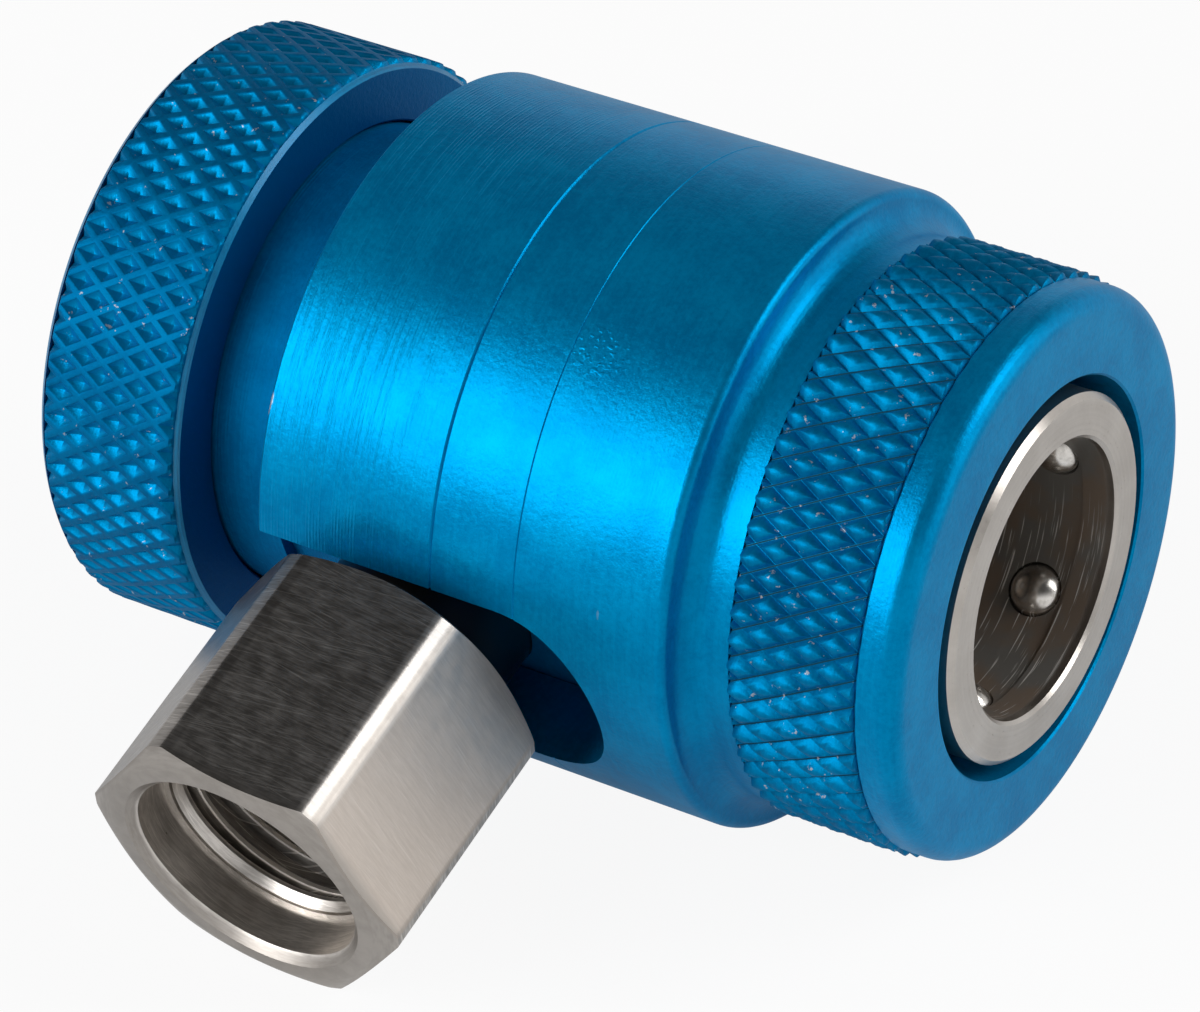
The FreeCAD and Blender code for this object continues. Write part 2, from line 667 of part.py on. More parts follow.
for k in range(BALLS):
    ball = doc.addObject("Part::Sphere", "locking_ball_%d" % (k + 1))
    ball.Label = "locking_ball_%d" % (k + 1)
    ball.setExpression("Radius", cell("{ball_r}"))
    spoke = "({tilt} + %g deg)" % (180 + 360.0 / BALLS * k)
    ball.setExpression("Placement.Base.x", cell("-{ball_station}"))
    ball.setExpression("Placement.Base.y", cell("{ball_seat} * cos" + spoke))
    ball.setExpression("Placement.Base.z", cell("{ball_seat} * sin" + spoke))

new_ring("socket_seal", "{seal_r}", "{seal_wire_r}", "{seal_station}")
new_ring("tube_o_ring", "{tube_ring_r}", "{tube_ring_wire_r}",
         "({body_front} + {tube_ring_width} / 2)")
new_ring("bonnet_o_ring", "{bonnet_ring_r}", "{bonnet_ring_wire_r}",
         "({web_back} + {bonnet_nose} / 2)")
new_ring("stem_o_ring", "{stem_ring_r}", "{stem_ring_wire_r}",
         "({stem_groove_front} + {stem_ring_wire_r})")

new_coil("sleeve_spring", "{spring_coil_r}", "{spring_wire_r}",
         "({land_back} + {spring_gap})", "({body_front} - {spring_gap})", "{spring_turns}")
new_coil("plunger_spring", "{plunger_coil_r}", "{plunger_wire_r}",
         "({socket_depth} + {diaphragm} + {spring_gap})",
         "({plunger_back} - {plunger_flange} - {spring_gap})", "{plunger_turns}")

# Stop ring: open wire ring in the sleeve's bore, with its gap at the slot.
stop_ring = new_body("sleeve_stop_ring")
ring_turning = turned(stop_ring, "Revolution", "ring_turning", [
    ("-{ring_station}", "{ring_in}"),
    ("-{ring_station}", "{ring_out}"),
    ("-{ring_station} - {ring_width}", "{ring_out}"),
    ("-{ring_station} - {ring_width}", "{ring_in}"),
], role="XY_Plane")
ring_turning.Midplane = True
ring_turning.setExpression("Angle", cell("360 deg - {ring_gap_deg} * 1 deg"))
doc.recompute()
lean(stop_ring)

# Hose port: its own axis is the local Z, with the hexagon turned about it.
port = new_body("port_fitting")
hex_sketch = new_sketch(port, "XY_Plane", "hexagon")
corner = []
for k in range(6):
    ray = "(%g deg - {hex_turn_deg} * 1 deg)" % (60 * k)
    corner.append(("{hex_flats} / sqrt(3) * cos" + ray, "{hex_flats} / sqrt(3) * sin" + ray))
outline(hex_sketch, corner)
doc.recompute()
hexagon = port.newObject("PartDesign::Pad", "hexagon_pad")
hexagon.Profile = hex_sketch
hexagon.Type = 0
hexagon.setExpression("Length", cell("{port_reach}"))
port.Tip = hexagon
doc.recompute()
tall = ["Edge%d" % (i + 1) for i, edge in enumerate(hexagon.Shape.Edges)
        if abs(edge.tangentAt(edge.FirstParameter).z) > 0.9]
rounds = port.newObject("PartDesign::Fillet", "hexagon_rounds")
rounds.Base = (hexagon, tall)
rounds.setExpression("Radius", cell("{hex_round}"))
port.Tip = rounds
doc.recompute()
whole = port.Shape.Volume
turned(port, "Groove", "port_stem_turning", [
    ("{pilot_r}", "-1"),
    ("{hex_flats}", "-1"),
    ("{hex_flats}", "{hex_back} + ({hex_flats} - {hex_face_r}) * tan({hex_back_bevel_deg} * 1 deg)"),
    ("{hex_face_r}", "{hex_back}"),
    ("{port_stem_r}", "{hex_back}"),
    ("{port_stem_r}", "{port_seat}"),
    ("{pilot_r}", "{port_seat}"),
], axis="V_Axis")
must_cut(port, whole, "port stem")
whole = port.Shape.Volume
turned(port, "Groove", "port_end_trim", [
    ("0", "-1"),
    ("{hex_flats}", "-1"),
    ("{hex_flats}", "{pilot_end}"),
    ("0", "{pilot_end}"),
], axis="V_Axis")
must_cut(port, whole, "port end")
whole = port.Shape.Volume
turned(port, "Groove", "port_end_bevel", [
    ("{hex_face_r}", "{port_reach}"),
    ("{hex_flats}", "{port_reach} - ({hex_flats} - {hex_face_r}) * tan({hex_bevel_deg} * 1 deg)"),
    ("{hex_flats}", "{port_reach}"),
], axis="V_Axis")
must_cut(port, whole, "port bevel")
whole = port.Shape.Volume
turned(port, "Groove", "port_bore", [
    ("0", "{pilot_end} - 1"),
    ("{flow_r}", "{pilot_end} - 1"),
    ("{flow_r}", "{thread_floor} - ({hose_thread_r} - {flow_r}) * 0.5"),
    ("{hose_thread_r}", "{thread_floor}"),
    ("{hose_thread_r}", "{thread_top} - ({relief_ring_r} - {hose_thread_r})"),
    ("{relief_ring_r}", "{thread_top}"),
    ("{relief_ring_r}", "{port_step}"),
    ("{counterbore_r}", "{port_step}"),
    ("{counterbore_r}", "{port_reach} - ({port_mouth_r} - {counterbore_r})"),
    ("{port_mouth_r}", "{port_reach}"),
    ("{port_mouth_r}", "{port_reach} + 1"),
    ("0", "{port_reach} + 1"),
], axis="V_Axis")
must_cut(port, whole, "port bore")
lean(port, " + 90 deg")
port.setExpression("Placement.Base.x", cell("-{port_station}"))

port_ring = doc.addObject("Part::Torus", "port_o_ring")
port_ring.Label = "port_o_ring"
port_ring.setExpression("Radius1", cell("{port_ring_r}"))
port_ring.setExpression("Radius2", cell("{port_ring_wire_r}"))
lean(port_ring, " + 90 deg")
port_ring.setExpression("Placement.Base.x", cell("-{port_station}"))
port_ring.setExpression("Placement.Base.y", cell("-{port_ring_arm} * cos{tilt}"))
port_ring.setExpression("Placement.Base.z", cell("-{port_ring_arm} * sin{tilt}"))

# Plunger: presses the valve core in the car's port.
plunger = new_body("plunger")
turned(plunger, "Revolution", "plunger_turning", [
    ("-{plunger_tip}", "0"),
    ("-{plunger_tip}", "{plunger_r} * 0.7"),
    ("-{plunger_tip} - {plunger_r} * 0.3", "{plunger_r}"),
    ("-{plunger_back} + {plunger_flange}", "{plunger_r}"),
    ("-{plunger_back} + {plunger_flange}", "{plunger_flange_r}"),
    ("-{plunger_back}", "{plunger_flange_r}"),
    ("-{plunger_back}", "0"),
])
lean(plunger)

# Stem: smooth at the seal, threaded in the bonnet, square in the knob.
stem = new_body("valve_stem")
turned(stem, "Revolution", "stem_turning", [
    ("-{stem_front}", "0"),
    ("-{stem_front}", "{stem_r} * 0.85"),
    ("-{stem_front} - {stem_r} * 0.15", "{stem_r}"),
    ("-{stem_shoulder}", "{stem_r}"),
    ("-{stem_shoulder} - ({stem_thread_r} - {stem_r}) * 0.6", "{stem_thread_r}"),
    ("-{stem_thread_back}", "{stem_thread_r}"),
    ("-{stem_thread_back}", "0"),
])
square_sketch = new_sketch(stem, "YZ_Plane", "square")
outline(square_sketch, [("-{square_half}", "-{square_half}"), ("{square_half}", "-{square_half}"),
                        ("{square_half}", "{square_half}"), ("-{square_half}", "{square_half}")])
doc.recompute()
square_sketch.AttachmentOffset = FreeCAD.Placement(FreeCAD.Vector(0, 0, -40), FreeCAD.Rotation())
square_sketch.setExpression("AttachmentOffset.Base.z", cell("-{stem_thread_back}"))
doc.recompute()
whole = stem.Shape.Volume
square = stem.newObject("PartDesign::Pad", "stem_square_pad")
square.Profile = square_sketch
square.Type = 0
square.setExpression("Length", cell("{recess_floor} - {stem_thread_back} - {stop_clear}"))
square.Reversed = True
stem.Tip = square
doc.recompute()
turned(stem, "Groove", "screw_hole", [
    ("-{recess_floor} - 1", "0"),
    ("-{recess_floor} - 1", "{screw_r} + {square_clear}"),
    ("-{washer_back} + {screw_length} + {stop_clear}", "{screw_r} + {square_clear}"),
    ("-{washer_back} + {screw_length} + {screw_r}", "0"),
])
lean(stem)

# Bonnet nut: carries the stem's thread and its seal.
bonnet = new_body("bonnet_nut")
turned(bonnet, "Revolution", "bonnet_turning", [
    ("-{web_back}", "{stem_bore}"),
    ("-{web_back}", "{bonnet_nose_r}"),
    ("-{web_back} - {bonnet_nose}", "{bonnet_nose_r}"),
    ("-{web_back} - {bonnet_nose}", "{bonnet_r}"),
    ("-{bonnet_back}", "{bonnet_r}"),
    ("-{bonnet_back}", "{stem_thread_r} + {stem_clear}"),
    ("-{bonnet_thread_front}", "{stem_thread_r} + {stem_clear}"),
    ("-{bonnet_thread_front}", "{stem_bore}"),
    ("-{stem_groove_back}", "{stem_bore}"),
    ("-{stem_groove_back}", "{stem_groove_r}"),
    ("-{stem_groove_front}", "{stem_groove_r}"),
    ("-{stem_groove_front}", "{stem_bore}"),
])
whole = bonnet.Shape.Volume
spanner_sketch = new_sketch(bonnet, "YZ_Plane", "spanner_slot")
outline(spanner_sketch, [
    ("-{rear_bore_r} - 1", "-{bonnet_slot} / 2"),
    ("{rear_bore_r} + 1", "-{bonnet_slot} / 2"),
    ("{rear_bore_r} + 1", "{bonnet_slot} / 2"),
    ("-{rear_bore_r} - 1", "{bonnet_slot} / 2"),
])
doc.recompute()
spanner_sketch.AttachmentOffset = FreeCAD.Placement(FreeCAD.Vector(0, 0, -38), FreeCAD.Rotation())
spanner_sketch.setExpression("AttachmentOffset.Base.z", cell("-{bonnet_back} + {bonnet_slot_depth}"))
doc.recompute()
spanner = bonnet.newObject("PartDesign::Pocket", "spanner_cut")
spanner.Profile = spanner_sketch
spanner.Type = 0
spanner.setExpression("Length", cell("{bonnet_slot_depth} + 1"))
bonnet.Tip = spanner
must_cut(bonnet, whole, "spanner slot")
lean(bonnet)

backup = new_body("stem_backup_ring")
turned(backup, "Revolution", "backup_turning", [
    ("-{stem_groove_mid}", "{stem_bore}"),
    ("-{stem_groove_mid}", "{stem_groove_r}"),
    ("-{stem_groove_back}", "{stem_groove_r}"),
    ("-{stem_groove_back}", "{stem_bore}"),
])
lean(backup)

# Knob: a deep cup over the body's neck, driven by the stem's square.
knob = new_body("hand_knob")
knob.BaseFeature = rolled_ring("knob_diamonds", KNOB_DIAMONDS, "{pit_step}", "{knob_front} + {knob_front_bevel}",
                               "{knob_back} - {knob_back_bevel}", "{knob_r}", "{pit_bottom}", "{pit_core}",
                               "{pit_land}")
doc.recompute()
turned(knob, "Revolution", "knob_turning", [
    ("-{knob_front}", "{knob_bore}"),
    ("-{knob_front}", "{knob_face_r}"),
    ("-{knob_front} - {knob_front_bevel}", "{knob_rim_r}"),
    ("-{knob_front} - {knob_front_bevel}", "{pit_bed_r}"),
    ("-{knob_back} + {knob_back_bevel}", "{pit_bed_r}"),
    ("-{knob_back} + {knob_back_bevel}", "{knob_r}"),
    ("-{knob_back}", "{knob_r} - {knob_back_bevel}"),
    ("-{knob_back}", "{recess_r}"),
    ("-{recess_floor}", "{recess_r}"),
    ("-{recess_floor}", "0"),
    ("-{knob_floor}", "0"),
    ("-{knob_floor}", "{knob_bore}"),
])
whole = knob.Shape.Volume
drive_sketch = new_sketch(knob, "YZ_Plane", "square_hole")
outline(drive_sketch, [("-{square_hole}", "-{square_hole}"), ("{square_hole}", "-{square_hole}"),
                       ("{square_hole}", "{square_hole}"), ("-{square_hole}", "{square_hole}")])
doc.recompute()
drive = knob.newObject("PartDesign::Pocket", "square_cut")
drive.Profile = drive_sketch
drive.Type = 0
drive.setExpression("Length", cell("{knob_back} + 1"))
knob.Tip = drive
must_cut(knob, whole, "square hole")
lean(knob)

washer = new_body("knob_washer")
turned(washer, "Revolution", "washer_turning", [
    ("-{recess_floor}", "{screw_r} + {square_clear}"),
    ("-{recess_floor}", "{washer_r}"),
    ("-{washer_back}", "{washer_r}"),
    ("-{washer_back}", "{screw_r} + {square_clear}"),
])
lean(washer)

screw = new_body("knob_screw")
turned(screw, "Revolution", "screw_turning", [
    ("-{washer_back} + {screw_length}", "0"),
    ("-{washer_back} + {screw_length}", "{screw_r}"),
    ("-{washer_back}", "{screw_r}"),
    ("-{washer_back}", "{screw_head_r}"),
    ("-{washer_back} - {screw_head} * 0.4", "{screw_head_r}"),
    ("-{washer_back} - {screw_head}", "{screw_head_r} * 0.65"),
    ("-{washer_back} - {screw_head}", "0"),
])
whole = screw.Shape.Volume
socket_sketch = new_sketch(screw, "YZ_Plane", "hex_socket")
outline(socket_sketch, [("{screw_socket} / sqrt(3) * cos(%d deg)" % (60 * k),
                         "{screw_socket} / sqrt(3) * sin(%d deg)" % (60 * k)) for k in range(6)])
doc.recompute()
socket_sketch.AttachmentOffset = FreeCAD.Placement(FreeCAD.Vector(0, 0, -44), FreeCAD.Rotation())
socket_sketch.setExpression(
    "AttachmentOffset.Base.z",
    cell("-{washer_back} - {screw_head} + {screw_socket_depth}"))
doc.recompute()
socket_cut = screw.newObject("PartDesign::Pocket", "hex_socket_cut")
socket_cut.Profile = socket_sketch
socket_cut.Type = 0
socket_cut.setExpression("Length", cell("{screw_socket_depth} + 1"))
screw.Tip = socket_cut
must_cut(screw, whole, "hex socket")
lean(screw)

doc.recompute()
for item in doc.Objects:
    if "Invalid" in item.State or "Error" in item.State:
        raise RuntimeError(item.Label + " failed: " + str(item.State))

nodes = [item for item in doc.Objects
         if item.TypeId == "PartDesign::Body" or item.TypeId in ("Part::Torus", "Part::Sphere")]
for item in nodes:
    if item.Shape.isNull() or not item.Shape.isValid() or len(item.Shape.Solids) != 1:
        raise RuntimeError(item.Label + " is not one valid solid")

os.makedirs("parts", exist_ok=True)
for item in nodes:
    item.Shape.exportStep("parts/" + item.Label + ".step")
print("%d pieces, lying at %.2f degrees" % (len(nodes), number("{tilt}")))
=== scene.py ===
"""Looks, stage and light of a refrigerant quick coupler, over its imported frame."""
import logging
import math
from dataclasses import dataclass
from enum import Enum
from functools import reduce
from typing import Callable, Dict, List, Optional, Sequence, Tuple, Union

import bmesh
import bpy
from mathutils import Matrix, Vector


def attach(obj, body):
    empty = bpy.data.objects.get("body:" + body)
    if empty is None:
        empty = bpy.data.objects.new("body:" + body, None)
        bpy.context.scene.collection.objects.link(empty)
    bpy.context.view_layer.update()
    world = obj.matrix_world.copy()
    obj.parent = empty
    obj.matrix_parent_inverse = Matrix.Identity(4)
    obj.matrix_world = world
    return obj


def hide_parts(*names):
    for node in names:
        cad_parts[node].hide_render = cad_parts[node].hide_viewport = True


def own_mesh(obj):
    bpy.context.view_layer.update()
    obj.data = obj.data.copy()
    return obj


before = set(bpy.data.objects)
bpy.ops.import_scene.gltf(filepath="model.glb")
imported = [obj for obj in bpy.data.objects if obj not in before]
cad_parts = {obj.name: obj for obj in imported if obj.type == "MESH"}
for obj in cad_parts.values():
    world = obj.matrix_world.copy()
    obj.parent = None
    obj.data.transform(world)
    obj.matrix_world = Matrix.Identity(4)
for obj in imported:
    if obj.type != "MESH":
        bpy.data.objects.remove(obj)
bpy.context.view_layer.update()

Piece = bpy.types.Object
Material = bpy.types.Material
Point = Tuple[float, float]
Spot = Tuple[float, float, float]
Colour = Tuple[float, float, float, float]
Term = Union["Wire", float]
Value = Union["Wire", float, Sequence[float]]

LOG = logging.getLogger("coupler")
MM = 0.001
ORIGIN: Spot = (0.0, 0.0, 0.0)
FORWARDS: Spot = (1.0, 0.0, 0.0)
WHITE: Colour = (1.0, 1.0, 1.0, 1.0)
TILT = math.radians(16.47)
PORT_TURN = math.pi / 2 + TILT
PORT_WAY = Vector((0.0, -math.cos(TILT), -math.sin(TILT)))
PORT_STATION = 25.2
FLOOR_Z = -0.015


class Slot(Enum):
    """Names of the record's finishes, passed along with new pieces."""

    BLUE = "anodised_blue"
    STEEL = "steel"
    SPRING = "spring_steel"


class Moving(Enum):
    """The bodies that carry new pieces."""

    FIXED = "body"
    SLEEVE = "sleeve"
    KNOB = "knob"


class Wire:
    """One value of a material. Python maths on it adds Math nodes."""

    def __init__(self, nodes: "Nodes", socket: bpy.types.NodeSocket) -> None:
        """Keeps the tree that it belongs to and the socket that gives the value."""
        self.nodes = nodes
        self.socket = socket

    def math(self, operation: str, *terms: Term) -> "Wire":
        """The result of one Math node, whose inputs are the terms in order."""
        return self.nodes.add("ShaderNodeMath", {"operation": operation}, dict(enumerate(terms)))

    def __add__(self, other: Term) -> "Wire":
        """Sum."""
        return self.math("ADD", self, other)

    __radd__ = __add__

    def __sub__(self, other: Term) -> "Wire":
        """Difference."""
        return self.math("SUBTRACT", self, other)

    def __rsub__(self, other: Term) -> "Wire":
        """Difference, reflected."""
        return self.math("SUBTRACT", other, self)

    def __mul__(self, other: Term) -> "Wire":
        """Product."""
        return self.math("MULTIPLY", self, other)

    __rmul__ = __mul__

    def __abs__(self) -> "Wire":
        """Size without sign."""
        return self.math("ABSOLUTE", self)

    def most(self, other: Term) -> "Wire":
        """The larger of the two."""
        return self.math("MAXIMUM", self, other)

    def root(self) -> "Wire":
        """Square root."""
        return self.math("SQRT", self)

    def step(self, low: float, high: float) -> "Wire":
        """Smooth step.

        Args:
            low: Value at which the step starts.
            high: Value at which it ends, which may be the smaller one.

        Returns:
            0 at low and before, 1 at high and past it.
        """
        falls = low > high
        return self.nodes.add(
            "ShaderNodeMapRange", {"interpolation_type": "SMOOTHSTEP"},
            {"Value": self, "From Min": min(low, high), "From Max": max(low, high),
             "To Min": float(falls), "To Max": float(not falls)}, "Result")


class Nodes:
    """A node tree that is being filled."""

    def __init__(self, tree: bpy.types.NodeTree) -> None:
        """Starts with an empty tree."""
        self.tree = tree
        self.tree.nodes.clear()

    def add(self, kind: str, settings: Optional[Dict[str, object]] = None,
            sockets: Optional[Dict[Union[str, int], Value]] = None, out: Union[str, int] = 0) -> Wire:
        """Adds a node.

        Args:
            kind: The node's type.
            settings: Its settings, such as an operation, set first.
            sockets: Values or links of its inputs, by name or number.
            out: The output that is wanted.

        Returns:
            That output.
        """
        node = self.tree.nodes.new(kind)
        for name, setting in (settings or {}).items():
            setattr(node, name, setting)
        for name, value in (sockets or {}).items():
            if isinstance(value, Wire):
                self.tree.links.new(value.socket, node.inputs[name])
            else:
                node.inputs[name].default_value = value
        return Wire(self, node.outputs[out])

    def vector(self, operation: str, first: Value, second: Value = ORIGIN, out: str = "Vector") -> Wire:
        """The result of one Vector Math node."""
        return self.add("ShaderNodeVectorMath", {"operation": operation}, {0: first, 1: second}, out)

    def split(self, vector: Wire) -> Tuple[Wire, Wire, Wire]:
        """The three parts of a vector."""
        node = self.add("ShaderNodeSeparateXYZ", None, {0: vector}).socket.node
        return tuple(Wire(self, socket) for socket in node.outputs)

    def join(self, *parts: Term) -> Wire:
        """A vector of three parts."""
        return self.add("ShaderNodeCombineXYZ", None, dict(enumerate(parts)))

    def light_path(self, *rays: str) -> Wire:
        """1 for any of the named rays, such as Is Camera Ray."""
        return reduce(Wire.most, [self.add("ShaderNodeLightPath", out=ray) for ray in rays])

    def end(self, shader: Wire, kind: str = "ShaderNodeOutputMaterial") -> None:
        """Links a shader to the tree's output."""
        node = self.tree.nodes.new(kind)
        self.tree.links.new(shader.socket, node.inputs["Surface"])


class Recipe(Nodes):
    """The node tree of one material, with lengths in millimetres."""

    def __init__(self, name: str) -> None:
        """Starts an empty material of that name."""
        self.material = bpy.data.materials.new(name)
        self.material.use_nodes = True
        super().__init__(self.material.node_tree)
        self.place = self.vector("MULTIPLY", self.add("ShaderNodeTexCoord", out="Object"), (1.0 / MM,) * 3)

    def along(self, way: Sequence[float]) -> Wire:
        """The place's distance along a direction."""
        return self.vector("DOT_PRODUCT", self.place, way, "Value")

    def radius(self) -> Wire:
        """The place's distance from the main axis."""
        _, y, z = self.split(self.place)
        return (y * y + z * z).root()

    def near(self, centre: Spot, stretch: Spot = (1.0, 1.0, 1.0)) -> Wire:
        """The place's distance from a point, with a weight for each direction."""
        gap = self.vector("SUBTRACT", self.place, centre)
        return self.vector("LENGTH", self.vector("MULTIPLY", gap, stretch), out="Value")

    def noise(self, cells: Spot, detail: float, rough: float = 0.5, vector: Optional[Wire] = None) -> Wire:
        """Noise on the place.

        Args:
            cells: Cells per millimetre in each direction.
            detail: Number of finer layers.
            rough: Strength of the finer layers.
            vector: Another vector than the place.

        Returns:
            A value around a half.
        """
        place = self.vector("MULTIPLY", vector or self.place, cells)
        return self.add("ShaderNodeTexNoise", None,
                        {"Vector": place, "Scale": 1.0, "Detail": detail, "Roughness": rough})

    def grain(self, cells: float, detail: float, rough: float = 0.5) -> Wire:
        """Noise with as many cells per millimetre in every direction."""
        return self.noise((cells, cells, cells), detail, rough)

    def mix(self, share: Term, first: Value, second: Value) -> Wire:
        """A colour between two colours."""
        return self.add("ShaderNodeMix", {"data_type": "RGBA"}, {0: share, 6: first, 7: second}, 2)

    def bump(self, height: Wire, depth: float = 1.0) -> Wire:
        """A normal bent by a height, of which 1 stands for a depth in millimetres."""
        return self.add("ShaderNodeBump", None, {"Height": height, "Distance": depth * MM}, "Normal")

    def surface(self, **sockets: Value) -> Material:
        """Ends the material in one shader.

        Args:
            sockets: Inputs of the shader, by name with _ for a space.

        Returns:
            The material.
        """
        named = {name.replace("_", " "): value for name, value in sockets.items()}
        self.end(self.add("ShaderNodeBsdfPrincipled", None, named))
        return self.material


@dataclass(frozen=True)
class Zone:
    """A second finish within a radius of the main axis, and half the width of the change. Its colour
    is painted: shade on the knob's face, light in the knob's pits.
    """

    radius: float
    colour: Colour
    metal: float
    rough: float
    fade: float = 0.03


@dataclass(frozen=True)
class BlueAnodised:
    """Dyed anodised aluminium: turned lines, fine grain and worn bare edges.

    turned holds the places on the main axis between which the tool's lines come in. shaded_grooves holds
    a knurl's count, step and first station, for thin dark lines of painted shade along the bottoms of one
    set of its grooves. The last fields are the places of single marks.
    """

    name: str
    deep: Colour = (0.0, 0.19, 0.43, 1.0)
    bright: Colour = (0.0, 0.265, 0.55, 1.0)
    bare: Colour = (0.62, 0.55, 0.51, 1.0)
    # painted shade of one set of the knurl's groove bottoms, near black
    groove_shade: Colour = (0.012, 0.035, 0.04, 1.0)
    rough: float = 0.34
    metal: float = 0.58
    coat: float = 0.0
    coat_rough: float = 0.3
    line_depth: float = 0.017
    grain_depth: float = 0.019
    feed: float = 0.17
    turned: Point = (-21.0, -27.0)
    specks: float = 0.0
    shaded_grooves: Optional[Tuple[int, float, float]] = None
    zone: Optional[Zone] = None
    chip: Spot = (-32.05, -13.37, 6.81)
    speck: Spot = (-9.62, -14.94, 1.38)
    scratch: Spot = (-14.08, -14.81, 2.36)
    pimples: Spot = (-17.13, -9.17, 11.87)

    def material(self) -> Material:
        """Mixes the finish.

        Returns:
            The material.
        """
        mix = Recipe(self.name)
        lines = mix.noise((4.6, 0.2, 0.2), 3.0, 0.65)
        grain = mix.grain(3.8, 3.0, 0.7)
        cloud = mix.grain(0.3, 3.0, 0.6)
        tone = lines * 0.2 + grain * 0.35 + cloud * 0.45
        colour = mix.mix(tone.step(0.36, 0.64), self.deep, self.bright)
        metal: Term = self.metal
        rough: Term = self.rough
        coat: Term = self.coat
        # painted shade: the groove bottoms of one direction are darkened and lose their metal
        if self.shaded_grooves:
            shaded_grooves = self.painted_groove_shade(mix) * 0.85
            colour = mix.mix(shaded_grooves, colour, self.groove_shade)
            metal = self.metal * (1.0 - shaded_grooves)
        # painted light and shade: within the radius the colour stands for the light there, darker on the
        # knob's face, lighter in its pits
        if self.zone:
            zone = self.zone
            within = mix.radius().step(zone.radius + zone.fade, zone.radius - zone.fade)
            colour = mix.mix(within * 0.85, colour, zone.colour)
            metal = self.metal + within * (zone.metal - self.metal)
            rough = self.rough + within * (zone.rough - self.rough)
            coat = self.coat * (1.0 - within)
        colour = mix.mix(self.wear(mix), colour, self.bare)
        x = mix.along(FORWARDS)
        share = x.step(*self.turned) * 0.9 + 0.2
        feed = x.math("SINE", x * (2.0 * math.pi / self.feed)) * lines.step(0.4, 0.6)
        height = (lines + feed * 0.35) * share * self.line_depth
        height = height + (grain + self.raised(mix)) * self.grain_depth
        return mix.surface(
            Base_Color=colour, Metallic=metal, Specular_IOR_Level=0.0, Coat_Weight=coat,
            Coat_Roughness=self.coat_rough,
            Roughness=rough + (grain - 0.5) * 0.16 + (lines - 0.5) * 0.08, Normal=mix.bump(height))

    def painted_groove_shade(self, mix: Recipe) -> Wire:
        """Thin dark lines of painted shade along the groove bottoms of one direction.

        Args:
            mix: The material that is being mixed.

        Returns:
            1 on a line.
        """
        count, step, first = self.shaded_grooves
        x, y, z = mix.split(mix.place)
        turns = (y.math("ARCTAN2", y, z) + TILT) * (count / (2.0 * math.pi))
        place = turns - (x + first) * (0.5 / step)
        return abs(place.math("FRACT", place) - 0.5).step(0.045, 0.02)

    def raised(self, mix: Recipe) -> Wire:
        """The height, in grains, of a few raised spots of the barrel's upper side."""
        patch = mix.near(self.pimples, (0.8, 1.0, 1.0)).step(1.7, 0.3)
        return mix.grain(3.4, 1.0).step(0.52, 0.7) * patch * 1.1

    def wear(self, mix: Recipe) -> Wire:
        """Where the dye is gone: chips and scratches of the barrel and, on knurls, specks.

        Args:
            mix: The material that is being mixed.

        Returns:
            0 where the dye is whole, 1 where it is bare.
        """
        ragged = mix.grain(5.0, 3.0) - 0.5
        chip = (mix.near(self.chip, (1.6, 1.0, 0.4)) + ragged * 0.3).step(0.34, 0.2)
        speck = (mix.near(self.speck) + ragged * 0.1).step(0.09, 0.05)
        scratch = (mix.near(self.scratch, (1.4, 1.0, 0.35)) + ragged * 0.12).step(0.10, 0.04)
        worn = (chip * 0.8).most(speck * 0.35).most(scratch * 0.12)
        if self.specks:
            fleck = mix.grain(2.3, 3.0, 0.65)
            worn = worn.most(fleck.step(0.70 - self.specks, 0.75 - self.specks) * 0.55)
        return worn


@dataclass(frozen=True)
class TurnedSteel:
    """Stainless steel with tool lines round an axis, and a stained and rubbed bore.

    Each pair of numbers holds where a mark starts and where it is full: mouth on the main axis, wall
    away from it and low along low_way.
    """

    name: str
    dark: Colour = (0.42, 0.385, 0.35, 1.0)
    light: Colour = (0.64, 0.605, 0.565, 1.0)
    brown: Colour = (0.33, 0.26, 0.205, 1.0)
    grey: Colour = (0.28, 0.27, 0.25, 1.0)
    glint: Colour = (0.95, 0.92, 0.88, 1.0)
    rough: float = 0.3
    grain_depth: float = 0.003
    mouth: Point = (-0.4, -0.65)
    wall: Point = (7.8, 7.5)
    low_way: Spot = (0.0, 0.3, -0.95)
    low: Point = (1.2, 4.2)

    def material(self) -> Material:
        """Mixes the finish.

        Returns:
            The material.
        """
        mix = Recipe(self.name)
        radius = mix.radius()
        x = mix.along(FORWARDS)
        lines = mix.noise((6.0, 6.0, 6.0), 1.0, 0.5, mix.join(x, radius, 0.0))
        grain = mix.grain(5.0, 2.0)
        stain = mix.grain(0.35, 3.0)
        tone = lines * 0.25 + grain * 0.15 + stain * 0.6
        bore = x.step(*self.mouth) * radius.step(*self.wall)
        low = mix.along(self.low_way).step(*self.low) * bore
        scratch = mix.noise((9.0, 0.3, 0.3), 2.0, 0.6).step(0.6, 0.68) * low
        stained = mix.mix(stain.step(0.4, 0.6), self.brown, self.grey)
        colour = mix.mix(tone.step(0.1, 0.9), self.dark, self.light)
        colour = mix.mix(scratch, mix.mix(bore, colour, stained), self.glint)
        return mix.surface(
            Base_Color=colour, Metallic=1.0 - bore * 0.3,
            Roughness=self.rough + (grain - 0.5) * 0.1 + (lines - 0.5) * 0.06 + bore * 0.14,
            Normal=mix.bump(grain, self.grain_depth))


